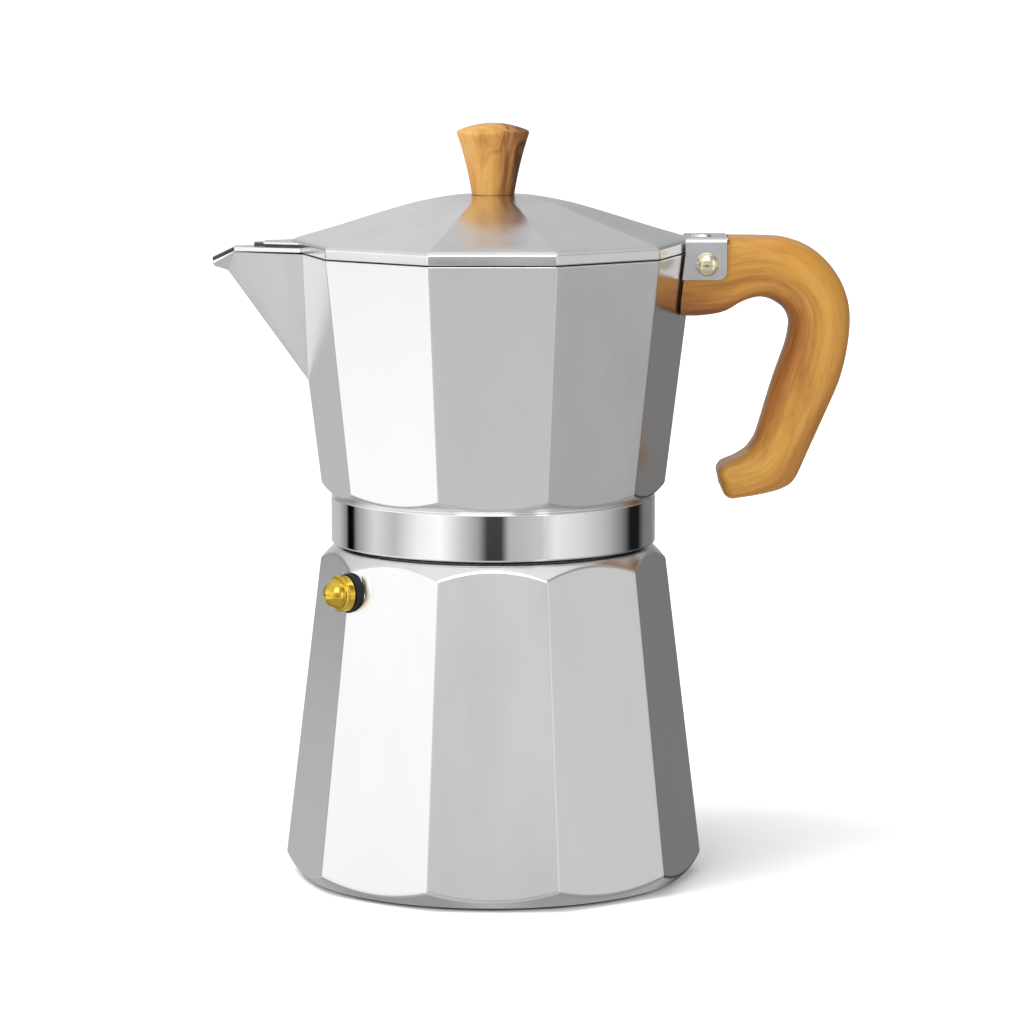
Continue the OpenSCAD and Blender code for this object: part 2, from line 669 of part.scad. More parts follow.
module handle() {
    fit = 0.3;
    color("peru") difference() {
        rotate([90, 0, 0]) linear_extrude(handle_t, center = true) handle_outline();
        // the root follows the pot's corner
        taper(band_z, collector_r(band_z) + fit + 0.4, rim_z, rim_r + fit + 0.4);
        taper(rim_z - 0.01, rim_r + fit + 0.4, rim_z + 20, rim_r + fit + 0.4);
        // room for the saddle's top, its hinge and the sweep of the lid's edge
        translate([rim_r - 20, -40, saddle_top - saddle_t - 0.1])
            cube([saddle_end - rim_r + 20.2, 80, 20]);
        translate([rim_r - 20, -40, hinge_z - knuckle_r - 0.6])
            cube([hinge_x - rim_r + knuckle_r + 20.6, 80, 20]);
        lug_block(fit / 2);
        translate([rim_r - 6, -lug_t / 2 - fit / 2, rim_z - lug_h])
            cube([lug_end - rim_r + 6 + fit / 2, lug_t + fit, lug_h + 20]);
        translate([rivet_x, 0, rivet_z]) rotate([90, 0, 0])
            cylinder(h = 60, r = rivet_r + 0.1, center = true);
    }
}

boiler();
funnel_cup();
funnel_stem();
funnel_grid();
valve_seal();
valve_body();
valve_nut();
valve_poppet();
valve_spring();
valve_cap();
gasket();
filter_plate();
collector();
riser_column();
riser_cap();
spout();
saddle_bracket();
hinge_pin();
handle();
handle_rivet();
lid();
spout_cover();
knob_washer();
knob_screw();
lid_knob();
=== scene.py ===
"""A ten-sided aluminium moka pot with a wooden handle and knob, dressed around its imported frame."""
import json
import math

import bmesh
import bpy
import numpy as np
from mathutils import Matrix, Vector


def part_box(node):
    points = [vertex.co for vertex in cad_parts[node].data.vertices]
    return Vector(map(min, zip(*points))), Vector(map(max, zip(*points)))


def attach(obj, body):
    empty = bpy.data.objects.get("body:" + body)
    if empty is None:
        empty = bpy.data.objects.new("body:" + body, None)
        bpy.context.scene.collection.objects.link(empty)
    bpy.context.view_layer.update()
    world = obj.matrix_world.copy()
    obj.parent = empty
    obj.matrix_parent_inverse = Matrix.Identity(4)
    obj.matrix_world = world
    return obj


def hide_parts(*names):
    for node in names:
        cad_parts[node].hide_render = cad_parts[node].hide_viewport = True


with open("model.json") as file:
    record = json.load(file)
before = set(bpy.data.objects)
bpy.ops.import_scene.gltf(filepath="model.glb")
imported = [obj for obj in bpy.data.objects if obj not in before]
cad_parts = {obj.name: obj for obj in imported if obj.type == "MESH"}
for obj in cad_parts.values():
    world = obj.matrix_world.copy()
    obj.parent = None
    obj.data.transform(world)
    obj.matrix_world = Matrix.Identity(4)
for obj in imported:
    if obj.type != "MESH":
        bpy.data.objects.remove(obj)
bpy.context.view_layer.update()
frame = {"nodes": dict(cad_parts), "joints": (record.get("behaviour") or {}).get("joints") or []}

# ---------------------------------------------------------------- camera and studio
# The camera stands well back on a long lens, a little above the lid. The pot stands on a pale
# sweep in a ring of soft lights and dark gaps, which its polished sides mirror.
def put(name, data):
    """A new object of that name, in the scene."""
    thing = bpy.data.objects.new(name, data)
    bpy.context.collection.objects.link(thing)
    return thing


camera = put("camera", bpy.data.cameras.new("camera"))
camera.data.sensor_width = 36
camera.data.lens = 166.7
camera.location = (0.0048, -1.2024, 0.2554)
camera.rotation_euler = (math.radians(90 - 7.67), 0, 0)
bpy.context.scene.camera = camera
bpy.context.scene.view_settings.view_transform = "Standard"


def wire(tree, kind, settings=None, **inputs):
    """Adds a node, sets its properties, and fills its inputs with sockets or plain values."""
    node = tree.nodes.new(kind)
    for name, value in (settings or {}).items():
        setattr(node, name, value)
    for name, value in inputs.items():
        socket = node.inputs[int(name[1:]) if name[0] == "_" else name.replace("_", " ")]
        if isinstance(value, bpy.types.NodeSocket):
            tree.links.new(value, socket)
        else:
            socket.default_value = value
    return node


def maths(operation, *values):
    """One Math node on numbers and sockets, in the sockets' own tree; gives back its result."""
    tree = next(value.id_data for value in values if isinstance(value, bpy.types.NodeSocket))
    inputs = {f"_{i}": value for i, value in enumerate(values)}
    return wire(tree, "ShaderNodeMath", {"operation": operation}, **inputs).outputs[0]


def ramp(value, stops, smooth=False):
    """A colour ramp through (place, colour or grey) stops."""
    node = wire(value.id_data, "ShaderNodeValToRGB", Fac=value)
    node.color_ramp.interpolation = "EASE" if smooth else "LINEAR"
    elements = node.color_ramp.elements
    while len(elements) < len(stops):
        elements.new(0.5)
    for element, (place, colour) in zip(elements, stops):
        element.position = place
        grey = not hasattr(colour, "__len__")
        element.color = (colour, colour, colour, 1) if grey else (*colour, 1)
    return node.outputs["Color"]


# How bright the studio is round the pot, as (degrees from the handle, brightness), at five
# heights. FRONT is a narrow level, seen mostly in the turned skirt, where its gaps are streaks.
BELOW = [(0, 0.30), (49, 0.34), (90, 0.58), (131, 0.32), (170, 0.50), (228, 0.60), (300, 0.50),
         (360, 0.30)]
LOW = [(0, 0.26), (30, 0.06), (80, 0.06), (104, 0.50), (126, 0.58), (150, 0.70), (178, 1.25),
       (226, 1.25), (250, 0.82), (268, 0.66), (299, 0.62), (303, 1.5), (308, 1.5), (312, 0.52),
       (345, 0.42), (360, 0.26)]
FRONT = [(0, 0.48), (14, 0.24), (24, 0.01), (36, 0.01), (46, 0.20), (62, 0.22), (100, 0.60),
         (128, 0.56), (142, 0.26), (144, 0), (152, 0), (157, 0.32), (178, 0.78), (196, 0.56),
         (216, 1.05), (233, 1.18), (246, 0.74), (260, 0.38), (266, 0.05), (276, 0.05),
         (281, 0.52), (305, 0.66), (315, 0.95), (336, 0.78), (360, 0.48)]
MIDDLE = [(0, 0.52), (30, 0.22), (66, 0.20), (84, 0.44), (97, 0.70), (108, 0.58), (120, 0.33),
          (136, 0.33), (150, 0.52), (178, 1.20), (234, 1.20), (256, 0.78), (270, 0.66),
          (299, 0.70), (303, 1.9), (308, 1.9), (312, 0.72), (342, 0.70), (360, 0.52)]
ABOVE = [(0, 0.34), (60, 0.46), (82, 0.58), (90, 0.60), (99, 0.72), (130, 0.72), (200, 0.90),
         (240, 0.90), (246, 2.8), (282, 2.8), (288, 0.55), (330, 0.38), (360, 0.34)]
# Between neighbouring levels the light changes over this span of the direction's height
LEVELS = [(LOW, 0.22, 0.30), (FRONT, 0.375, 0.405), (MIDDLE, 0.445, 0.462), (ABOVE, 0.60, 0.74)]
ZENITH, ZENITH_SPAN = 0.95, (0.84, 0.97)
BACKDROP = 1.02
world = bpy.data.worlds.new("studio")
world.use_nodes = True
bpy.context.scene.world = world
tree = world.node_tree
tree.nodes.clear()
direction = wire(tree, "ShaderNodeSeparateXYZ",
                 Vector=tree.nodes.new("ShaderNodeTexCoord").outputs["Generated"]).outputs
turn = maths("ARCTAN2", direction["Y"], direction["X"])
turn = maths("FRACT", maths("ADD", maths("DIVIDE", turn, 2 * math.pi), 1))
height = maths("MULTIPLY_ADD", direction["Z"], 0.5, 0.5)


def around(stops):
    """The brightness of one level in the direction that is looked at."""
    return ramp(turn, [(degrees / 360, light) for degrees, light in stops])


light = around(BELOW)
levels = [(around(stops), start, end) for stops, start, end in LEVELS]
for level, start, end in [*levels, ((ZENITH, ZENITH, ZENITH, 1), *ZENITH_SPAN)]:
    share = ramp(height, [(start, 0), (end, 1)], True)
    light = wire(tree, "ShaderNodeMix", {"data_type": "RGBA"}, _0=share, _6=light,
                 _7=level).outputs[2]
backdrop = wire(tree, "ShaderNodeBackground", Color=(1, 1, 1, 1), Strength=BACKDROP)
lights = wire(tree, "ShaderNodeBackground", Color=light, Strength=1.0)
seen = tree.nodes.new("ShaderNodeLightPath").outputs["Is Camera Ray"]
shown = wire(tree, "ShaderNodeMixShader", _0=seen, _1=lights.outputs[0], _2=backdrop.outputs[0])
wire(tree, "ShaderNodeOutputWorld", Surface=shown.outputs[0])

key = put("key_light", bpy.data.lights.new("key_light", "AREA"))
key.data.shape = "DISK"
key.data.size = 0.9
key.data.energy = 21
key.location = (-0.75, -0.55, 1.6)
key.rotation_euler = (Vector((0, 0, 0.08)) - key.location).to_track_quat("-Z", "Y").to_euler()
key.visible_glossy = False

floor_mesh = bpy.data.meshes.new("floor")
reach = 30
floor_mesh.from_pydata([(-reach, -reach, 0), (reach, -reach, 0), (reach, reach, 0),
                        (-reach, reach, 0)], [], [(0, 1, 2, 3)])
floor = put("floor", floor_mesh)
floor.location.z = -0.0001
floor.visible_glossy = False


def surface(name, metallic=1.0, **fixed):
    """A new material with one Principled shader; fixed values sit on its own sockets."""
    material = bpy.data.materials.new(name)
    material.use_nodes = True
    tree = material.node_tree
    shader = tree.nodes["Principled BSDF"]
    shader.inputs["Metallic"].default_value = metallic
    for key_name, value in fixed.items():
        shader.inputs[key_name.replace("_", " ")].default_value = value
    return material, tree, shader


paper, tree, shader = surface("floor_paper", metallic=0.0, Base_Color=(0.93, 0.93, 0.93, 1),
                              Roughness=0.9, Specular_IOR_Level=0, Emission_Color=(1, 1, 1, 1))
# the sweep glows with a painted light that fades out where the pot stands, painting the dark contact
# line round its foot and a soft shadow beside it
away = wire(tree, "ShaderNodeVectorMath", {"operation": "LENGTH"},
            Vector=tree.nodes.new("ShaderNodeTexCoord").outputs["Object"]).outputs["Value"]
painted_floor_light = ramp(away, [(0.0485, 0), (0.056, 0.03), (0.12, 0.22), (0.7, 0.46)])
tree.links.new(painted_floor_light, shader.inputs["Emission Strength"])
floor_mesh.materials.append(paper)

# ---------------------------------------------------------------- boiler
# The water vessel, cast in aluminium: ten flat tapering sides polished on the outside, a
# turned foot and shoulder, and a screw neck with a coarse thread. All sizes in millimetres.
MM = 0.001
SIDES = 10
FLAT = math.cos(math.pi / SIDES)


def turned(radius, z, fillet=0.0):
    """A point of a profile that stays round: the same on the corners and on the flats."""
    return (radius, z), (radius, z), fillet


def sided(radius, z, fillet=0.0):
    """A point of a profile with ten corners at that radius, and flats between them."""
    return (radius, z), (radius * FLAT, z), fillet


def crease(taper, cone, fillet=0.0):
    """Where the ten tapering flats meet a turned cone. Each is (radius at height 0, growth)."""
    def meet(share):
        z = (taper[0] * share - cone[0]) / (cone[1] - taper[1] * share)
        return cone[0] + cone[1] * z, z
    return meet(1), meet(FLAT), fillet


def line_through(r1, z1, r2, z2):
    """(Radius at height 0, growth with height) of a straight taper through two points."""
    growth = (r2 - r1) / (z2 - z1)
    return r1 - growth * z1, growth


def eased(points, fillets, closed):
    """A profile whose corners are rounded, with the same count of points at every corner."""
    out = []
    count = len(points)
    for i, (here, fillet) in enumerate(zip(points, fillets)):
        end = not closed and i in (0, count - 1)
        here = Vector(here)
        if fillet == 0 or end:
            out.append(here)
            continue
        before = Vector(points[i - 1]) - here
        after = Vector(points[(i + 1) % count]) - here
        a = here + before.normalized() * min(fillet, before.length * 0.45)
        c = here + after.normalized() * min(fillet, after.length * 0.45)
        for t in (0, 0.25, 0.5, 0.75, 1):
            out.append(a * (1 - t) ** 2 + here * 2 * t * (1 - t) + c * t * t)
    return out + out[:1] if closed else out


def open_tree(name, inputs):
    """A geometry-node tree with named inputs, a finish and one output; gives back its inputs."""
    tree = bpy.data.node_groups.new(name, "GeometryNodeTree")
    for label, kind, value in (*inputs, ("Finish", "Material", None)):
        socket = tree.interface.new_socket(label, in_out="INPUT", socket_type="NodeSocket" + kind)
        if value is not None:
            socket.default_value = value
    tree.interface.new_socket("Body", in_out="OUTPUT", socket_type="NodeSocketGeometry")
    return tree, tree.nodes.new("NodeGroupInput").outputs


def close_tree(tree, grid, radius, angle, z, finish):
    """Ends a tree: bends its grid round the Z axis, joins the seams and gives it its finish."""
    placed = wire(tree, "ShaderNodeCombineXYZ", Z=z,
                  X=maths("MULTIPLY", radius, maths("COSINE", angle)),
                  Y=maths("MULTIPLY", radius, maths("SINE", angle)))
    body = wire(tree, "GeometryNodeSetPosition", Geometry=grid.outputs["Mesh"],
                Position=placed.outputs[0])
    body = wire(tree, "GeometryNodeMergeByDistance", Geometry=body.outputs[0], Distance=1e-6)
    body = wire(tree, "GeometryNodeRealizeInstances", Geometry=body.outputs[0])
    body = wire(tree, "GeometryNodeSetMaterial", Geometry=body.outputs[0], Material=finish)
    wire(tree, "NodeGroupOutput", _0=body.outputs[0])
    return tree


def make_turning_tree():
    """Turns a profile about Z and mills flats on it. Its input is two rows of points in the XZ
    plane, the profile at a corner and then the same profile at the middle of a flat."""
    tree, given = open_tree("turning", (
        ("Profiles", "Geometry", None), ("Sides", "Int", SIDES), ("Columns per side", "Int", 28),
        ("Corner sharpness", "Float", 700.0)))
    count = wire(tree, "GeometryNodeAttributeDomainSize", Geometry=given["Profiles"]).outputs[0]
    rows = maths("DIVIDE", count, 2)
    columns = maths("MULTIPLY", given["Sides"], given["Columns per side"])
    grid = wire(tree, "GeometryNodeMeshGrid", Size_X=columns, Size_Y=maths("SUBTRACT", rows, 1),
                Vertices_X=maths("ADD", columns, 1), Vertices_Y=rows)
    spot = wire(tree, "ShaderNodeSeparateXYZ",
                Vector=tree.nodes.new("GeometryNodeInputPosition").outputs[0]).outputs
    column = maths("ROUND", maths("MULTIPLY_ADD", columns, 0.5, spot["X"]))
    row = maths("ROUND", maths("ADD", spot["Y"], maths("MULTIPLY_ADD", rows, 0.5, -0.5)))
    # the angle from the middle of the flat, with columns crowded towards the corners
    half = maths("DIVIDE", math.pi, given["Sides"])
    place = maths("DIVIDE", column, given["Columns per side"])
    side = maths("FLOOR", maths("ADD", place, 0.0001))
    across = maths("MULTIPLY_ADD", maths("SUBTRACT", place, side), 2, -1)
    crowd = maths("POWER", maths("SUBTRACT", 1, maths("ABSOLUTE", across)), 2.2)
    lean = maths("MULTIPLY", half, maths("SUBTRACT", 1, crowd))
    middle = maths("MULTIPLY", maths("MULTIPLY_ADD", side, 2, 1), half)
    angle = maths("MULTIPLY_ADD", lean, maths("SIGN", across), middle)
    # the radius of a ten-sided outline with slightly rounded corners
    sharp = given["Corner sharpness"]
    beyond = maths("SUBTRACT", maths("MULTIPLY", half, 2), lean)
    own, next_ = (maths("POWER", maths("COSINE", off), sharp) for off in (lean, beyond))
    flat = maths("COSINE", half)
    blend = maths("POWER", maths("ADD", own, next_), maths("DIVIDE", 1, sharp))
    radius = maths("DIVIDE", flat, blend)
    share = maths("DIVIDE", maths("SUBTRACT", 1, radius), maths("SUBTRACT", 1, flat))
    where = tree.nodes.new("GeometryNodeInputPosition").outputs[0]
    picks = [wire(tree, "GeometryNodeSampleIndex", {"data_type": "FLOAT_VECTOR"},
                  Geometry=given["Profiles"], Value=where, Index=index).outputs[0]
             for index in (row, maths("ADD", row, rows))]
    mixed = wire(tree, "ShaderNodeMix", {"data_type": "VECTOR"}, _0=share, _4=picks[0],
                 _5=picks[1])
    point = wire(tree, "ShaderNodeSeparateXYZ", Vector=mixed.outputs[1]).outputs
    return close_tree(tree, grid, point["X"], angle, point["Z"], given["Finish"])


def run_tree(name, source, tree, **settings):
    """Runs a geometry-node tree over a mesh, and keeps what it makes as a plain mesh."""
    maker = put(name + "_maker", source)
    modifier = maker.modifiers.new("maker", "NODES")
    modifier.node_group = tree
    for item in tree.interface.items_tree:
        key_name = item.name.replace(" ", "_")
        if item.in_out == "INPUT" and key_name in settings:
            modifier[item.identifier] = settings[key_name]
    graph = bpy.context.evaluated_depsgraph_get()
    mesh = bpy.data.meshes.new_from_object(maker.evaluated_get(graph), depsgraph=graph)
    bpy.data.objects.remove(maker)
    mesh.name = name
    return put(name, mesh)


def face_out(mesh):
    """Turns the faces of a closed mesh outwards and merges doubles."""
    work = bmesh.new()
    work.from_mesh(mesh)
    bmesh.ops.remove_doubles(work, verts=work.verts, dist=1e-6)
    bmesh.ops.recalc_face_normals(work, faces=work.faces)
    if work.calc_volume(signed=True) < 0:
        bmesh.ops.reverse_faces(work, faces=work.faces)
    work.to_mesh(mesh)
    work.free()


def packed(node):
    """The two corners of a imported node's box, in millimetres."""
    return [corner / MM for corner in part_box(node)]


TURNING = make_turning_tree()


def turning(name, profile, finish, closed=False, place=None, columns=28):
    """A lathe-turned or ten-sided piece from a profile in millimetres."""
    fillets = [p[2] for p in profile]
    rows = [point for i in (0, 1) for point in eased([p[i] for p in profile], fillets, closed)]
    source = bpy.data.meshes.new(name + "_profiles")
    source.from_pydata([(p.x * MM, 0, p.y * MM) for p in rows], [], [])
    piece = run_tree(name, source, TURNING, Columns_per_side=columns, Finish=finish)
    face_out(piece.data)
    if place is not None:
        piece.data.transform(place)
    return piece


def rod(radius, start, end, segments=64):
    """A closed round bar between two points, in millimetres, for cutting or adding."""
    start, end = Vector(start), Vector(end)
    work = bmesh.new()
    spin = (end - start).to_track_quat("Z", "Y").to_matrix().to_4x4()
    bmesh.ops.create_cone(work, cap_ends=True, segments=segments, radius1=radius, radius2=radius,
                          depth=(end - start).length,
                          matrix=Matrix.Translation((start + end) / 2) @ spin)
    return tool_from(work)


def block(low, high):
    """A closed box between two corners, in millimetres, for cutting or adding."""
    work = bmesh.new()
    low, high = Vector(low), Vector(high)
    bmesh.ops.create_cube(work, size=1, matrix=Matrix.Translation((low + high) / 2)
                          @ Matrix.Diagonal((*(high - low), 1)))
    return tool_from(work)


def tool_from(work):
    """A mesh object in metres from a bmesh in millimetres."""
    bmesh.ops.scale(work, vec=(MM, MM, MM), verts=work.verts)
    mesh = bpy.data.meshes.new("tool")
    work.to_mesh(mesh)
    work.free()
    return put("tool", mesh)


def worked(piece, operation, *tools):
    """Adds tools to a piece or cuts them out of it, for good."""
    for tool in tools:
        modifier = piece.modifiers.new("work", "BOOLEAN")
        modifier.operation = operation
        modifier.solver = "EXACT"
        modifier.object = tool
    graph = bpy.context.evaluated_depsgraph_get()
    done = bpy.data.meshes.new_from_object(piece.evaluated_get(graph), depsgraph=graph)
    piece.modifiers.clear()
    piece.data = done
    for tool in tools:
        bpy.data.objects.remove(tool)
    return piece


def polished_edges(piece, angle=35):
    """Smooth shading that keeps the flats flat and the true edges sharp."""
    mesh = piece.data
    mesh.polygons.foreach_set("use_smooth", [True] * len(mesh.polygons))
    mesh.set_sharp_from_angle(angle=math.radians(angle))
    modifier = piece.modifiers.new("flat_faces", "WEIGHTED_NORMAL")
    modifier.keep_sharp = True
    modifier.weight = 100


def refinish(piece, material, test):
    """Gives the faces that pass a test, on their centre in millimetres, another finish."""
    piece.data.materials.append(material)
    index = len(piece.data.materials) - 1
    for face in piece.data.polygons:
        centre, normal = face.center / MM, face.normal
        radius = math.hypot(centre.x, centre.y)
        outward = (centre.x * normal.x + centre.y * normal.y) / max(radius, 0.01)
        if test(radius, centre.z, outward, normal.z):
            face.material_index = index


def grain_noise(tree, stretch, scale, detail=3.0, distortion=0.0, source=None):
    """Noise on the piece's own coordinates, stretched along an axis."""
    if source is None:
        source = tree.nodes.new("ShaderNodeTexCoord").outputs["Object"]
    spread = wire(tree, "ShaderNodeMapping", Vector=source, Scale=stretch)
    return wire(tree, "ShaderNodeTexNoise", Vector=spread.outputs[0], Scale=scale, Detail=detail,
                Roughness=0.55, Distortion=distortion).outputs["Fac"]


def to_range(value, low, high, start=0.3, end=0.7):
    """A value from start..end spread over low..high."""
    return wire(value.id_data, "ShaderNodeMapRange", Value=value, From_Min=start, From_Max=end,
                To_Min=low, To_Max=high).outputs[0]


def finish_with(shader, colour, roughness, marks, depth, strength=1.0):
    """Joins a colour, a roughness and raised marks to a finish's shader."""
    tree = shader.id_data
    bump = wire(tree, "ShaderNodeBump", Height=marks, Distance=depth, Strength=strength)
    for name, value in (("Base Color", colour), ("Roughness", roughness),
                        ("Normal", bump.outputs[0])):
        tree.links.new(value, shader.inputs[name])


def metal(name, dark, light, smooth, rough, stretch=(1, 1, 1), scale=60, lines=(1, 1, 1),
          line_scale=2600, line_depth=0.00001):
    """A metal finish: faintly mottled colour, uneven polish, and fine polishing marks."""
    material, tree, shader = surface(name)
    mottle = grain_noise(tree, stretch, scale, detail=4)
    finish_with(shader, ramp(mottle, [(0.3, dark), (0.7, light)]),
                to_range(mottle, smooth, rough),
                grain_noise(tree, lines, line_scale, detail=2), line_depth)
    return material


aluminium = metal("polished_aluminium", (0.80, 0.80, 0.81), (0.87, 0.87, 0.875), 0.17, 0.25,
                  stretch=(1, 1, 0.3))
turned_aluminium = metal("turned_aluminium", (0.82, 0.82, 0.83), (0.88, 0.88, 0.885), 0.05, 0.09,
                         lines=(0.02, 0.02, 1), line_scale=3500, line_depth=0.000002)
cast_aluminium = metal("cast_aluminium", (0.62, 0.62, 0.63), (0.74, 0.74, 0.75), 0.32, 0.45,
                       scale=220, line_depth=0.00003)
# a near-black metal that paints shade into gaps and hollows that lie in shadow
painted_shade_metal = metal("stained_base", (0.05, 0.048, 0.046), (0.13, 0.125, 0.12), 0.4, 0.6, scale=160,
                line_depth=0.00003)

low, high = packed("boiler")
neck_top = high.z
foot_bevel, foot_step = 4.9, 0.75
foot_r = high.x - foot_bevel
shoulder_z, shoulder_r = 81.8, 44.2
lip_r, neck_r, neck_bore_r = 40.4, 36.6, 33.4
lip_z = shoulder_z + shoulder_r - lip_r
boiler_wall, boiler_floor = 2.8, 3.0
boiler_taper = line_through(high.x, foot_bevel, shoulder_r, shoulder_z)


def boiler_r(z):
    return boiler_taper[0] + boiler_taper[1] * z


wall_top = shoulder_z - 3.3
wall_r = boiler_r(wall_top) * FLAT - boiler_wall
wall_foot = boiler_r(boiler_floor + 4) * FLAT - boiler_wall
boiler = turning("boiler_shell", [
    turned(0, 0.3), turned(foot_r - 4.7, 0.3, 0.2), turned(foot_r - 4.3, 0, 0.2),
    turned(foot_r - 1.3, 0, 0.2), turned(foot_r - 1.1, foot_step - 0.05, 0.2),
    turned(foot_r + foot_step, foot_step, 0.25),
    crease(boiler_taper, (foot_r, 1), 0.7),
    crease(boiler_taper, (shoulder_z + shoulder_r, -1), 0.6),
    turned(lip_r, lip_z, 0.6), turned(neck_r, lip_z, 0.4), turned(neck_r, neck_top, 0.4),
    turned(neck_bore_r, neck_top, 0.4),
    turned(neck_bore_r, wall_top + (wall_r - neck_bore_r) * 0.75, 1),
    turned(wall_r, wall_top, 1), turned(wall_foot, boiler_floor + 4, 1.5),
    turned(wall_foot - 4, boiler_floor, 1.5), turned(0, boiler_floor)], aluminium)

# The valve's boss, its flat seat and its hole, on the corner beside the spout
valve_axis = Vector(next(j for j in frame["joints"] if j["name"] == "valve_lift")["axis"])
valve_box = packed("valve_cap")
valve_z = (valve_box[0].z + valve_box[1].z) / 2
valve_seat = boiler_r(valve_z) - 1.6


def on_valve(distance):
    """A point on the valve's axis, that far from the pot's axis, in millimetres."""
    return valve_axis * distance + Vector((0, 0, valve_z))


boss = boiler_r(valve_z) * FLAT - boiler_wall - 0.8
boss_r, stub_hole_r, seat_r, nut_pocket_r = 6.8, 3.08, 5.1, 5.6
worked(boiler, "UNION", rod(boss_r, on_valve(boss - 0.4), on_valve(valve_seat - 0.6)))
worked(boiler, "DIFFERENCE", rod(stub_hole_r, on_valve(boss - 1), on_valve(valve_seat + 2)),
       rod(seat_r, on_valve(valve_seat), on_valve(valve_seat + 8)),
       rod(nut_pocket_r, on_valve(boss - 4.4), on_valve(boss)))

# ---------------------------------------------------------------- screw threads
# Both coarse threads are cut in the cast aluminium: a ridge outside the boiler's neck, and one
# half a pitch higher inside the collector's skirt. Their ends run out, as a cutter leaves them.
PITCH = 3.5


def make_thread_tree():
    """A ridge of trapezoid section that follows a right-hand helix and runs out at both ends."""
    tree, given = open_tree("thread", (
        ("Root radius", "Float", 0.0366), ("Tip radius", "Float", 0.0379),
        ("Foot height", "Float", 0.088), ("Pitch", "Float", PITCH * MM),
        ("Turns", "Float", 2.0), ("Steps per turn", "Int", 96)))
    steps = maths("ROUND", maths("MULTIPLY", given["Turns"], given["Steps per turn"]))
    grid = wire(tree, "GeometryNodeMeshGrid", Size_X=steps, Size_Y=4,
                Vertices_X=maths("ADD", steps, 1), Vertices_Y=5)
    spot = wire(tree, "ShaderNodeSeparateXYZ",
                Vector=tree.nodes.new("GeometryNodeInputPosition").outputs[0]).outputs
    step = maths("MULTIPLY_ADD", steps, 0.5, spot["X"])
    left = maths("SUBTRACT", steps, step)
    fade = maths("MINIMUM", 1, maths("DIVIDE", maths("MINIMUM", step, left), 14))
    # rows -2 and 2 are both the lower foot edge; between them run the upper foot, the upper tip
    # and the lower tip
    row = maths("ROUND", spot["Y"])
    tip_row = maths("LESS_THAN", maths("ABSOLUTE", maths("SUBTRACT", row, 0.5)), 1)
    upper = maths("LESS_THAN", maths("ABSOLUTE", maths("ADD", row, 0.5)), 1)
    swell = maths("MULTIPLY", tip_row, fade)
    depth = maths("SUBTRACT", given["Tip radius"], given["Root radius"])
    radius = maths("MULTIPLY_ADD", swell, depth, given["Root radius"])
    half = maths("MULTIPLY_ADD", swell, -0.75 * MM, 1.15 * MM)
    rise = maths("MULTIPLY", half, maths("MULTIPLY_ADD", upper, 2, -1))
    turns = maths("DIVIDE", step, given["Steps per turn"])
    angle = maths("MULTIPLY", turns, 2 * math.pi)
    z = maths("ADD", given["Foot height"], maths("MULTIPLY_ADD", turns, given["Pitch"], rise))
    return close_tree(tree, grid, radius, angle, z, given["Finish"])


THREAD = make_thread_tree()


def thread(root, tip, foot, turns, finish):
    """One thread ridge, closed at its ends, in millimetres."""
    blank = bpy.data.meshes.new("blank")
    piece = run_tree("thread", blank, THREAD, Root_radius=root * MM, Tip_radius=tip * MM,
                     Foot_height=foot * MM, Turns=turns, Finish=finish)
    work = bmesh.new()
    work.from_mesh(piece.data)
    rim = [e for e in work.edges if e.is_boundary]
    bmesh.ops.holes_fill(work, edges=rim, sides=8)
    work.to_mesh(piece.data)
    work.free()
    face_out(piece.data)
    return piece


band_z = lip_z + 0.8
band_top = band_z + 12.2
skirt_root_r = neck_r + 2.0
thread_foot, thread_depth, thread_root = lip_z + 2.4, 1.3, 0.3
male_turns = (neck_top - lip_z - 4.4) / PITCH
worked(boiler, "UNION", thread(neck_r - thread_root, neck_r + thread_depth, thread_foot,
                               male_turns, aluminium))
# the foot's underside and its recess are painted near-black, a painted shade for the dark line where
# the pot stands
refinish(boiler, painted_shade_metal, lambda r, z, out, up: z < foot_step - 0.03)
polished_edges(boiler)
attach(boiler, "boiler")
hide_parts("boiler")

# ---------------------------------------------------------------- collector
# The upper pot, cast in one piece: a bright turned skirt with the thread inside it, a waist,
# ten flat sides that widen to the rim, and a lug that the handle is riveted to.
low, high = packed("collector")
rim_z = high.z
rim_r = 51.2
band_r, waist_r, waist_z = 41.4, 43.9, 100.95
ceiling_z, floor_z = 101.35, 103.95
collector_wall = 2.2
collector_taper = line_through(waist_r, waist_z, rim_r, rim_z)
inner_taper = (collector_taper[0] - collector_wall / FLAT, collector_taper[1])
waist_cone = line_through(band_r - 0.4, band_top + 0.09, rim_r + 4, 109.76)


def at(taper, z):
    return taper[0] + taper[1] * z


groove = 0.6
collector = turning("collector_shell", [
    turned(6, ceiling_z, 0.2), turned(36.5, ceiling_z, 0.2), turned(36.5, neck_top + 0.6, 0.2),
    turned(skirt_root_r, neck_top + 0.6, 0.2), turned(skirt_root_r, band_z, 0.3),
    turned(band_r, band_z, 0.45), turned(band_r, band_top - 0.35, 0.4),
    turned(band_r - groove, band_top - 0.25, 0.1), turned(band_r - groove, band_top + 0.05, 0.1),
    crease(collector_taper, waist_cone, 0.7), sided(rim_r, rim_z, 0.4),
    sided(at(inner_taper, rim_z), rim_z, 0.4), sided(at(inner_taper, floor_z), floor_z, 1.2),
    turned(6, floor_z, 0.2)], aluminium, closed=True)

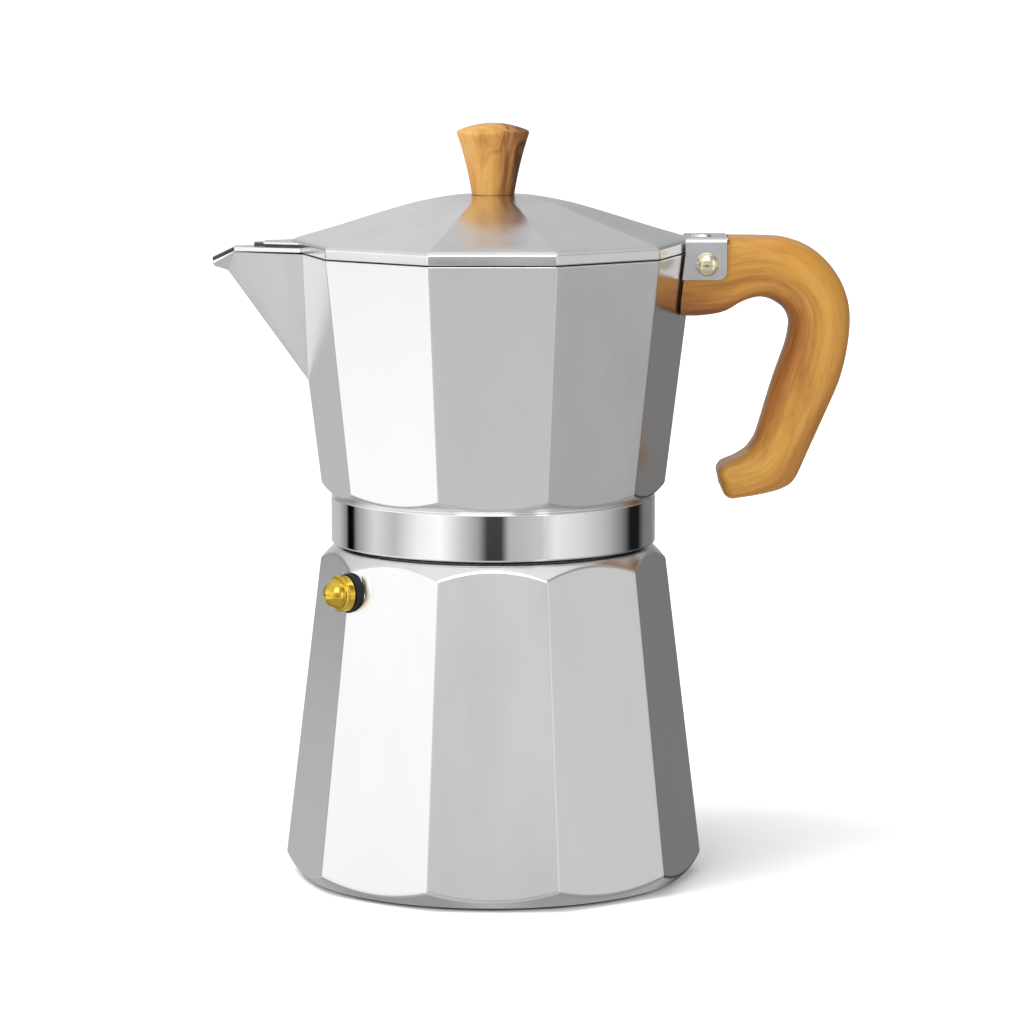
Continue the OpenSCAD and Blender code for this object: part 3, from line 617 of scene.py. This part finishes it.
# ---------------------------------------------------------------- spout
# A V-shaped spout of thick sheet, set over the pot's front corner and brazed on: two flat
# cheeks that meet in a keel, open along the top, with a short beak for a clean pour.
low, high = packed("spout")
spout_top = high.z
spout_foot_z, tip_x, spout_half = low.z, -low.x, high.y
spout_foot_x = at(collector_taper, spout_foot_z)
spout_root_x = rim_r - spout_half * math.tan(math.pi / SIDES) - 0.1
tip_z = spout_top - 3
throat = (tip_x - 3.8, 0, tip_z - 1.7)
brow_x, brow_half = tip_x - 5.6, spout_half * 0.27
spout_wall = 1.3
spout_shift = spout_wall * math.hypot(1, (tip_x - spout_root_x) / spout_half)


def hull(points, shift=(0, 0, 0)):
    """A closed convex block round points on both sides of the spout's plane."""
    work = bmesh.new()
    for x, y, z in points:
        for side in ((-1, 1) if y else (1,)):
            work.verts.new(Vector((-x, side * y, z)) + Vector(shift))
    bmesh.ops.convex_hull(work, input=work.verts)
    bmesh.ops.dissolve_limit(work, angle_limit=0.001, verts=work.verts, edges=work.edges)
    return tool_from(work)


def spout_blocks(lift, shift=(0, 0, 0)):
    """The spout's body and its beak as two solid blocks."""
    body = [(spout_root_x, spout_half, spout_top + lift), (spout_foot_x, 0, spout_foot_z), throat,
            (brow_x, brow_half, spout_top + lift),
            (spout_root_x - 8, spout_half, spout_top + lift),
            (spout_foot_x - 8, 0, spout_foot_z)]
    beak = [throat, (brow_x, brow_half, spout_top + lift), (tip_x, 0.9, tip_z + lift),
            (tip_x - 0.6, 0.3, tip_z - 0.7)]
    return hull(body, shift), hull(beak, shift)


def ten_sided_block(taper, z1, z2, gap):
    """The pot's own tapering shape, grown by a gap, for cutting what stands against it."""
    work = bmesh.new()
    corners = [2 * math.pi * i / SIDES for i in range(SIDES)]
    rings = [[work.verts.new((r * math.cos(a), r * math.sin(a), z)) for a in corners]
             for r, z in ((at(taper, z) + gap, z) for z in (z1, z2))]
    work.faces.new(rings[0][::-1])
    work.faces.new(rings[1])
    for i in range(SIDES):
        j = (i + 1) % SIDES
        work.faces.new((rings[0][i], rings[0][j], rings[1][j], rings[1][i]))
    return tool_from(work)


body, beak = spout_blocks(0)
spout = worked(body, "UNION", beak)
worked(spout, "DIFFERENCE", *spout_blocks(6, (spout_shift, 0, 0.6)))
worked(spout, "DIFFERENCE", ten_sided_block(collector_taper, waist_z, rim_z + 6, 0.02))


def named(piece, name, material):
    """Names a finished piece and gives it one finish all over."""
    piece.name = name
    piece.data.materials.clear()
    piece.data.materials.append(material)


def dressed(piece, width, segments=3, angle=20):
    """Breaks the sharp edges of a sheet-metal piece."""
    face_out(piece.data)
    modifier = piece.modifiers.new("broken_edges", "BEVEL")
    modifier.width = width * MM
    modifier.segments = segments
    modifier.limit_method = "ANGLE"
    modifier.angle_limit = math.radians(angle)
    modifier.miter_outer = "MITER_ARC"
    polished_edges(piece, 60)


named(spout, "spout_sheet", aluminium)
dressed(spout, 0.22)
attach(spout, "collector")
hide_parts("spout")

# The cast collector is finished here: the spout's mouth, the rivet's lug and the inner thread
rivet_box = packed("handle_rivet")
rivet_x = (rivet_box[0].x + rivet_box[1].x) / 2
rivet_z = (rivet_box[0].z + rivet_box[1].z) / 2
lug_end, lug_h, lug_half, rivet_hole_r = rivet_x + 5.5, 13, 3, 1.6
worked(collector, "DIFFERENCE", *spout_blocks(6, (spout_shift, 0, 0.6)))
worked(collector, "UNION",
       block((rim_r - 2.5, -lug_half, rim_z - lug_h), (lug_end, lug_half, rim_z)))
worked(collector, "DIFFERENCE", rod(rivet_hole_r, (rivet_x, -8, rivet_z), (rivet_x, 8, rivet_z)))
female_turns = min(male_turns, (band_top - thread_foot - PITCH / 2 - 2.2) / PITCH)
worked(collector, "UNION", thread(skirt_root_r + thread_root, skirt_root_r - thread_depth,
                                  thread_foot + PITCH / 2, female_turns, aluminium))
refinish(collector, turned_aluminium,
         lambda r, z, out, up: r > skirt_root_r + 0.5 and z < band_top + 0.1)
refinish(collector, cast_aluminium,
         lambda r, z, out, up: floor_z - 0.1 < z < rim_z - 0.5 and (out < -0.3 or up > 0.5))
polished_edges(collector)
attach(collector, "collector")
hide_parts("collector")

# ---------------------------------------------------------------- lid
# A pressed aluminium lid with an upright edge and ten flat, gently domed panels that run up to
# a small round seat for the knob. A knuckle at the back of it takes the hinge pin.
low, high = packed("lid")
lid_z, lid_top_z = low.z, high.z
lid_edge_z = lid_z + 2.45
lid_rise = lid_top_z - lid_edge_z
lid_t = 1.6
lid_curve = [(1, 0), (0.965, 0.09), (0.8, 0.3), (0.565, 0.62), (0.39, 0.84), (0.27, 0.94),
             (0.18, 0.99), (0.12, 1)]


def smooth_through(points, per_gap):
    """A smooth open curve through points, with that many steps between neighbours."""
    points = [Vector(p) for p in points]
    ends = [points[0] * 2 - points[1], *points, points[-1] * 2 - points[-2]]
    out = []
    for a, b, c, d in zip(ends, ends[1:], ends[2:], ends[3:]):
        for i in range(per_gap):
            t = i / per_gap
            out.append(0.5 * (2 * b + (c - a) * t + (2 * a - 5 * b + 4 * c - d) * t * t
                              + (3 * b - a - 3 * c + d) * t ** 3))
    return out + [points[-1]]


dome = [(rim_r * p.x, lid_edge_z + lid_rise * min(p.y, 1)) for p in smooth_through(lid_curve, 5)]
inner_edge = rim_r - lid_t - 0.3
lid = turning("lid_shell", [
    sided(inner_edge, lid_z, 0.2), sided(rim_r, lid_z, 0.3), sided(rim_r, lid_edge_z, 0.35),
    *(sided(r, z) for r, z in dome[1:]), turned(1.6, lid_top_z, 0.1),
    turned(1.6, lid_top_z - lid_t, 0.1),
    *(sided(min(r, inner_edge), z - lid_t) for r, z in dome[:3:-1])], aluminium, closed=True)
hinge = Vector(next(j for j in frame["joints"] if j["name"] == "lid_hinge")["pos_m"]) / MM
knuckle_r, knuckle_half, pin_hole_r = 1.6, 4, 0.8
worked(lid, "UNION",
       block((rim_r - 1.4, -knuckle_half, hinge.z - 1.2), (hinge.x, knuckle_half, hinge.z + 0.4)),
       rod(knuckle_r, hinge - Vector((0, knuckle_half, 0)), hinge + Vector((0, knuckle_half, 0))))
worked(lid, "DIFFERENCE",
       rod(pin_hole_r, hinge - Vector((0, 6, 0)), hinge + Vector((0, 6, 0)), 32))
refinish(lid, cast_aluminium, lambda r, z, out, up: up < -0.3 and r < inner_edge)
polished_edges(lid)
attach(lid, "lid")
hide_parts("lid")

# ---------------------------------------------------------------- spout cover
# The roof over the spout goes up with the lid: a flat plate with a raised middle and a
# pointed beak, spot-welded to the lid's edge.
low, high = packed("spout_cover")
lid_gap, cover_t, over = 0.25, 1.1, 0.2
plate_z = spout_top + lid_gap + 0.1
root_x = spout_root_x - 4
point_z = tip_z + lid_gap + 0.4
rim_t, step_in = 0.55, 1.1
root = (root_x, spout_half + over, plate_z)
brow = (brow_x, brow_half + over, plate_z)
point = (tip_x, 0.9 + over, point_z)
hat = [(root_x, spout_half - 1 - step_in), (brow_x - 5, brow_half + 0.4 - step_in)]
hat_rim = [(root_x, spout_half - 1), (brow_x - 7.5, brow_half + 1.1)]
spout_cover, beak = (hull([(x, y, z + t) for x, y, z in ends for t in (0, cover_t)])
                     for ends in ((root, brow), (brow, point)))
worked(spout_cover, "UNION", beak,
       hull([(x, y, z) for x, y in hat for z in (plate_z + 0.5, high.z - 0.2)]),
       hull([(x, y, z) for x, y in hat_rim for z in (high.z - rim_t, high.z)]))
worked(spout_cover, "DIFFERENCE", ten_sided_block((rim_r + 0.02, 0), rim_z - 8, rim_z + 12, 0))
named(spout_cover, "spout_roof", aluminium)
# the step under the raised middle and the sides of the beak are painted near-black, a painted shade
# for the gaps under the roof
refinish(spout_cover, painted_shade_metal,
         lambda r, z, out, up: plate_z + cover_t < z < high.z - 0.5 and abs(up) < 0.3
         or r > brow_x + 0.5 and abs(up) < 0.5)
dressed(spout_cover, 0.12)
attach(spout_cover, "lid")
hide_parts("spout_cover")

# ---------------------------------------------------------------- saddle bracket
# A folded stainless saddle that wraps the top of the handle, holds the hinge pin between its
# knuckles, and is riveted through the handle and the pot's lug.
steel = metal("steel", (0.76, 0.76, 0.775), (0.82, 0.82, 0.835), 0.18, 0.28, lines=(0.1, 0.93, 1),
              line_scale=1530, line_depth=0.000004)


def prism(outline, start, end, along):
    """A closed bar of a flat outline, between two places along an axis, in millimetres. Along
    X the outline's points are (y, z), and along Y they are (x, z)."""
    work = bmesh.new()
    rings = [[work.verts.new((place, a, b) if along == "X" else (a, place, b))
              for a, b in outline] for place in (start, end)]
    work.faces.new(rings[0])
    work.faces.new(rings[1][::-1])
    for i, j in zip(range(len(outline)), [*range(1, len(outline)), 0]):
        work.faces.new((rings[0][j], rings[0][i], rings[1][i], rings[1][j]))
    bmesh.ops.recalc_face_normals(work, faces=work.faces)
    return tool_from(work)


def corner_arc(x, z, radius, start, steps=8):
    """A quarter turn round a centre, from an angle in degrees."""
    return [(x + radius * math.cos(math.radians(start + 90 * i / steps)),
             z + radius * math.sin(math.radians(start + 90 * i / steps))) for i in range(steps + 1)]


low, high = packed("saddle_bracket")
saddle_half, saddle_t, saddle_top, saddle_end = high.y, 0.9, high.z, high.x
ear_end = rim_r - saddle_half * math.tan(math.pi / SIDES) + 11
front = rim_r - 4.5
fold, gap = 1.1, 0.35
bend_y, bend_z = saddle_half - fold, saddle_top - fold
around_wood = [(-saddle_half, low.z), *corner_arc(-bend_y, bend_z, fold, 90)[::-1],
               *corner_arc(bend_y, bend_z, fold, 0)[::-1],
               (saddle_half, low.z), (saddle_half - saddle_t, low.z),
               *corner_arc(bend_y, bend_z, fold - saddle_t, 0, 4),
               *corner_arc(-bend_y, bend_z, fold - saddle_t, 90, 4),
               (-saddle_half + saddle_t, low.z)]
saddle = prism(around_wood, front, saddle_end, "X")
ear = [(front - 1, saddle_top + 1), (front - 1, low.z), *corner_arc(ear_end - 2, low.z + 2, 2, -90),
       (ear_end, saddle_top - 0.4), (saddle_end, saddle_top - 0.4), (saddle_end, saddle_top + 1)]
worked(saddle, "INTERSECT", prism(ear, -20, 20, "Y"))
worked(saddle, "DIFFERENCE",
       block((rim_r - 20, -knuckle_half - gap, saddle_top - 5),
             (hinge.x + knuckle_r + 0.4, knuckle_half + gap, saddle_top + 5)))


def on_hinge(out):
    """A point on the hinge's axis, that far out from the pot's middle plane."""
    return hinge + Vector((0, out, 0))


worked(saddle, "UNION", *(rod(knuckle_r, on_hinge(side * (knuckle_half + gap)),
                              on_hinge(side * (saddle_half - 0.5))) for side in (-1, 1)))
worked(saddle, "DIFFERENCE", ten_sided_block(collector_taper, low.z - 4, rim_z, 0.6),
       ten_sided_block((rim_r + 0.6, 0), rim_z - 0.01, rim_z + 20, 0),
       rod(pin_hole_r - 0.03, on_hinge(1.2 - saddle_half), on_hinge(saddle_half - 1.2), 32),
       rod(rivet_hole_r, (rivet_x, -30, rivet_z), (rivet_x, 30, rivet_z), 32))
named(saddle, "saddle", steel)
dressed(saddle, 0.1, 2, 40)
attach(saddle, "collector")
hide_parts("saddle_bracket")

# ---------------------------------------------------------------- handle
# Carved from one piece of honey-coloured hardwood and polished: a level arm, a deep bend and
# a leg that ends in a small kicked foot. It is slotted over the pot's lug and riveted.
low, high = packed("handle")
handle_half = high.y
handle_reach = high.x - rim_r
handle_h = saddle_top - low.z
# Across the handle from its outer to its inner edge, as shares of its reach and height
sections = [((-0.14, 1), (-0.14, 0.7)), ((0, 1), (0.03, 0.7)), ((0.17, 1), (0.18, 0.715)),
            ((0.3, 1), (0.3, 0.753)), ((0.42, 1), (0.4, 0.77)), ((0.57, 0.995), (0.47, 0.763)),
            ((0.72, 0.965), (0.53, 0.744)), ((0.85, 0.905), (0.573, 0.722)),
            ((0.95, 0.82), (0.6, 0.69)), ((1, 0.72), (0.604, 0.655)),
            ((0.995, 0.6), (0.582, 0.588)),
            ((0.945, 0.46), (0.515, 0.475)), ((0.855, 0.33), (0.46, 0.37)),
            ((0.73, 0.165), (0.4, 0.25)), ((0.65, 0.068), (0.37, 0.212)),
            ((0.565, 0.033), (0.33, 0.18)), ((0.42, 0.012), (0.262, 0.152)),
            ((0.275, 0), (0.2, 0.135))]


def handle_place(share):
    """A point of the outline in millimetres: x and z."""
    return Vector((rim_r + handle_reach * share[0], low.z + handle_h * share[1]))


outer, inner = (smooth_through([handle_place(section[edge]) for section in sections], 6)
                for edge in (0, 1))
TIP_STEPS, RING = 8, 56
tip_length = 3.2
# The handle's spine: its middle, the way to its outer edge, and how full it is
spine = [((a + b) / 2, (a - b) / 2, 1.0) for a, b in zip(outer, inner)]
centre, half, _ = spine[-1]
ahead = Vector((half.y, -half.x)).normalized()
if ahead.dot(centre - spine[-3][0]) < 0:
    ahead = -ahead
for i in range(1, TIP_STEPS + 1):
    t = i / TIP_STEPS
    spine.append((centre + ahead * tip_length * t, half, max((1 - t * t) ** 0.3, 0.02)))
rings = []
for centre, half, full in spine:
    # nearly square at the root, where it fills the saddle, and rounder along the leg
    squareness = 6 - 3.5 * min(max((centre.x - rim_r - 9) / 14, 0), 1)
    ring = []
    for i in range(RING):
        turn = 2 * math.pi * i / RING
        c, s = math.cos(turn), math.sin(turn)
        across = math.copysign(abs(c) ** (2 / squareness), c) * full
        out = math.copysign(abs(s) ** (2 / squareness), s) * full * handle_half
        place = centre + half * across
        ring.append((place.x, out, place.y))
    rings.append(ring)
work = bmesh.new()
made = [[work.verts.new(p) for p in ring] for ring in rings]
for one, two in zip(made, made[1:]):
    for i in range(RING):
        j = (i + 1) % RING
        work.faces.new((one[i], one[j], two[j], two[i]))
work.faces.new(made[0])
work.faces.new(made[-1])
bmesh.ops.recalc_face_normals(work, faces=work.faces)
handle = tool_from(work)
face_out(handle.data)
root_fit, lug_fit, knuckle_fit = 0.7, 0.15, 0.6
above = saddle_top + 20
worked(handle, "DIFFERENCE",
       ten_sided_block(collector_taper, waist_z - 10, rim_z + 12, root_fit),
       block((rim_r - 20, -40, saddle_top - 1.0), (59.5, 40, above)),
       block((rim_r - 20, -40, hinge.z - knuckle_r - knuckle_fit),
             (hinge.x + knuckle_r + knuckle_fit, 40, above)),
       block((rim_r - 6, -lug_half - lug_fit, rim_z - lug_h - lug_fit),
             (lug_end + lug_fit, lug_half + lug_fit, above)),
       rod(rivet_hole_r, (rivet_x, -20, rivet_z), (rivet_x, 20, rivet_z), 32))


def along_handle(points):
    """For each point: how far across, out and along the handle it is, in metres."""
    middle = np.array([(c.x, c.y) for c, _, _ in spine[:-TIP_STEPS]])
    steps = np.linalg.norm(np.diff(middle, axis=0), axis=1)
    travelled = np.concatenate([[0], np.cumsum(steps)])
    found = []
    for x, y, z in points:
        gaps = (middle[:, 0] - x) ** 2 + (middle[:, 1] - z) ** 2
        i = min(max(int(np.argmin(gaps)), 1), len(middle) - 2)
        way = middle[i + 1] - middle[i - 1]
        way = way / np.linalg.norm(way)
        offset = np.array((x, z)) - middle[i]
        found.append((offset[1] * way[0] - offset[0] * way[1], y, travelled[i] + offset @ way))
    return np.array(found) * MM


grain = handle.data.attributes.new("grain", "FLOAT_VECTOR", "POINT")
grain.data.foreach_set("vector", along_handle(
    [v.co / MM for v in handle.data.vertices]).astype(np.float32).ravel())

handle_wood, tree, shader = surface("honey_wood", metallic=0.0, Coat_Weight=0.15,
                                    Coat_Roughness=0.2, Specular_IOR_Level=0.35)
fibres = wire(tree, "ShaderNodeAttribute", {"attribute_name": "grain"}).outputs["Vector"]
broad = grain_noise(tree, (1, 1, 0.16), 130, detail=4, distortion=0.6, source=fibres)
fine = grain_noise(tree, (1, 1, 0.04), 1400, detail=3, source=fibres)
flecks = grain_noise(tree, (1, 1, 0.12), 2600, detail=1, source=fibres)
split = wire(tree, "ShaderNodeSeparateXYZ", Vector=fibres).outputs
# the inner edge of the arm and leg is painted darker, a painted shade where the wood faces away from
# the light
painted_inner_shade = to_range(split["X"], 0.2, 0, -0.0095, -0.002)
tone = maths("SUBTRACT", maths("MULTIPLY_ADD", fine, 0.28, maths("MULTIPLY", broad, 0.75)), painted_inner_shade)
honey = ramp(tone, [(0.22, (0.14, 0.039, 0.005)), (0.38, (0.275, 0.098, 0.013)),
                    (0.54, (0.41, 0.186, 0.026)), (0.70, (0.51, 0.27, 0.045))])
dark_flecks = ramp(flecks, [(0.30, 0.72), (0.42, 1.0)])
coloured = wire(tree, "ShaderNodeMix", {"data_type": "RGBA", "blend_type": "MULTIPLY"}, _0=0.5,
                _6=honey, _7=dark_flecks)
finish_with(shader, coloured.outputs[2], to_range(fine, 0.34, 0.46), fine, 0.00003, 0.6)
named(handle, "handle_grip", handle_wood)
polished_edges(handle, 40)
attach(handle, "collector")
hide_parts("handle")

# ---------------------------------------------------------------- handle rivet
# One rivet of pale brass goes through both ears of the saddle, the handle and the pot's lug.
# Its two domed heads are polished, and sit flat on the ears.
pale_brass = metal("pale_brass", (0.74, 0.66, 0.46), (0.84, 0.77, 0.58), 0.08, 0.14, scale=400,
                   line_depth=0.000003)
head_r = (rivet_box[1].x - rivet_box[0].x) / 2
ear_face = 10.02
head_h = rivet_box[1].y - ear_face
across = Matrix.Translation((rivet_x * MM, 0, rivet_z * MM)) @ Matrix.Rotation(math.pi / 2, 4, "X")
head = [turned(head_r * math.sin(t), ear_face + 0.25 + (head_h - 0.25) * math.cos(t))
        for t in (math.pi / 2 * i / 8 for i in range(9))]
mirrored = [turned(p[0][0], -p[0][1]) for p in reversed(head)]
rivet = turning("rivet", [*head, turned(head_r, ear_face, 0.08), turned(1.5, ear_face),
                          turned(1.5, -ear_face), turned(head_r, -ear_face, 0.08), *mirrored],
                pale_brass, place=across, columns=6)
polished_edges(rivet, 50)
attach(rivet, "collector")
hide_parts("handle_rivet")

# ---------------------------------------------------------------- lid knob
# A flared knob turned from a figured, lighter wood than the handle's, and oiled. A screw and a
# washer hold it from under the lid.
low, high = packed("lid_knob")
knob_r, knob_h, knob_foot_r, knob_hole_r = high.x, high.z - low.z, 5.4, 1.52
flare_h = 0.86 * knob_h
flare = [(knob_foot_r + (knob_r - knob_foot_r) * (0.62 * t + 0.38 * t * t), low.z + flare_h * t)
         for t in (i / 12 for i in range(13))]
crown = [((knob_r - 1.2) * t, low.z + flare_h + 1 + (knob_h - flare_h - 1) * (1 - t * t))
         for t in (1 - i / 8 for i in range(9))]
knob_wood, tree, shader = surface("figured_wood", metallic=0.0, Coat_Weight=0.12,
                                  Coat_Roughness=0.25, Specular_IOR_Level=0.35)
place = tree.nodes.new("ShaderNodeTexCoord").outputs["Object"]
swirl = grain_noise(tree, (1, 1, 0.45), 70, detail=2)
figure = grain_noise(tree, (1, 1, 0.1), 110, detail=2, distortion=0.7)
streaks = grain_noise(tree, (1, 1, 0.05), 900, detail=3)
# thin growth lines run where the figure crosses each of a few levels
layers = maths("FRACT", maths("MULTIPLY", figure, 9))
lines = to_range(maths("ABSOLUTE", maths("SUBTRACT", layers, 0.5)), 1, 0, 0.02, 0.17)
# towards the knob's +X side the figure grows denser, and the wood is painted darker too: a painted
# shade on the side away from the key light
side = wire(tree, "ShaderNodeSeparateXYZ", Vector=place).outputs["X"]
denser_figure_and_painted_shade = to_range(maths("MULTIPLY_ADD", swirl, 0.006, side), 0, 1, 0.003, 0.0095)
tone = maths("MULTIPLY_ADD", swirl, 0.7, maths("MULTIPLY", streaks, 0.3))
tone = maths("SUBTRACT", tone, maths("MULTIPLY", lines, maths("MULTIPLY_ADD", denser_figure_and_painted_shade, 0.10, 0.09)))
tone = maths("SUBTRACT", tone, maths("MULTIPLY", denser_figure_and_painted_shade, 0.25))
olive = ramp(tone, [(0.14, (0.10, 0.034, 0.008)), (0.28, (0.26, 0.095, 0.019)),
                    (0.44, (0.48, 0.225, 0.043)), (0.62, (0.62, 0.34, 0.090))])
finish_with(shader, olive, to_range(streaks, 0.42, 0.55), streaks, 0.00004, 0.6)
knob = turning("knob", [
    turned(knob_hole_r, low.z), turned(*flare[0], 0.3), *(turned(*p) for p in flare[1:-1]),
    turned(*flare[-1], 0.5), turned(knob_r - 0.15, low.z + flare_h + 0.6, 0.4),
    *(turned(*p) for p in crown), turned(0, low.z + 11.5), turned(knob_hole_r, low.z + 11.5)],
    knob_wood, closed=True, columns=12)
polished_edges(knob, 50)
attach(knob, "lid")
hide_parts("lid_knob")

# ---------------------------------------------------------------- safety valve
# A brass valve on a rubber washer: a threaded stub with a turned flange, held by a nut inside
# the boiler, and a hollow dome over the spring and poppet, with a vent facing down.
brass = metal("brass", (0.66, 0.42, 0.045), (0.84, 0.60, 0.09), 0.06, 0.1, scale=400,
              line_depth=0.000002)
flange_r, stub_r, chamber_r, dome_r, dome_t, vent_r, bore_r = 4.6, 3.0, 2.3, 3.8, 1, 0.5, 1.1
flange_s = valve_seat + 2.2
dome_s = flange_s + 2.6
stub_s = boss - 2.6 - 0.8
to_valve = (Matrix.Translation((0, 0, valve_z * MM))
            @ valve_axis.to_track_quat("Z", "Y").to_matrix().to_4x4())
valve_body = turning("valve_flange", [
    turned(bore_r, stub_s, 0.1), turned(stub_r, stub_s, 0.2), turned(stub_r, flange_s, 0.1),
    turned(flange_r - 0.25, flange_s, 0.1), turned(flange_r, flange_s + 0.35, 0.15),
    turned(flange_r - 0.1, dome_s - 0.75, 0.1), turned(flange_r, dome_s - 0.6, 0.15),
    turned(flange_r, dome_s - 0.25, 0.1), turned(flange_r - 0.35, dome_s, 0.1),
    turned(chamber_r, dome_s, 0.1),
    turned(chamber_r, flange_s - 2.6, 0.1), turned(bore_r, flange_s - 2.6, 0.1)],
    brass, closed=True, place=to_valve, columns=10)
polished_edges(valve_body, 50)
arc = [math.pi / 2 * i / 12 for i in range(13)]
valve_dome = turning("valve_dome", [
    turned(r * math.cos(t), dome_s + r * math.sin(t))
    for r, run in ((dome_r, arc), (dome_r - dome_t, arc[::-1])) for t in run],
    brass, closed=True, place=to_valve, columns=10)
vent = on_valve(dome_s + 1.6)
worked(valve_dome, "DIFFERENCE", rod(vent_r, vent, vent - Vector((0, 0, 8)), 24))
polished_edges(valve_dome, 50)
for piece, node in ((valve_body, "valve_body"), (valve_dome, "valve_cap")):
    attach(piece, "boiler")
    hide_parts(node)

# ---------------------------------------------------------------- working parts inside
# The funnel, filter plate and their perforated discs are pressed sheet; the riser is turned
# from cast aluminium; the gasket is white rubber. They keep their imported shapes.
sheet = metal("sheet_aluminium", (0.66, 0.66, 0.67), (0.76, 0.76, 0.77), 0.22, 0.34, scale=300,
              line_depth=0.00001)


def rubber(name, dark, light, roughness):
    """A soft finish: slightly mottled, matt, with a fine moulded skin."""
    material, tree, shader = surface(name, metallic=0.0, Specular_IOR_Level=0.35)
    mottle = grain_noise(tree, (1, 1, 1), 500)
    finish_with(shader, ramp(mottle, [(0.3, dark), (0.7, light)]),
                to_range(mottle, roughness - 0.06, roughness + 0.06), mottle, 0.00003, 0.5)
    return material


black_rubber = rubber("black_rubber", (0.004, 0.004, 0.005), (0.011, 0.011, 0.013), 0.5)
white_rubber = rubber("white_rubber", (0.72, 0.71, 0.67), (0.82, 0.81, 0.78), 0.5)
FINISHES = {
    "funnel_cup": sheet, "funnel_stem": sheet, "funnel_grid": sheet, "filter_plate": sheet,
    "riser_column": cast_aluminium, "riser_cap": cast_aluminium, "gasket": white_rubber,
    "valve_seal": black_rubber, "valve_nut": brass, "valve_poppet": steel, "valve_spring": steel,
    "hinge_pin": steel, "knob_washer": steel, "knob_screw": steel}
for node, material in FINISHES.items():
    frame["nodes"][node].material_slots[0].material = material
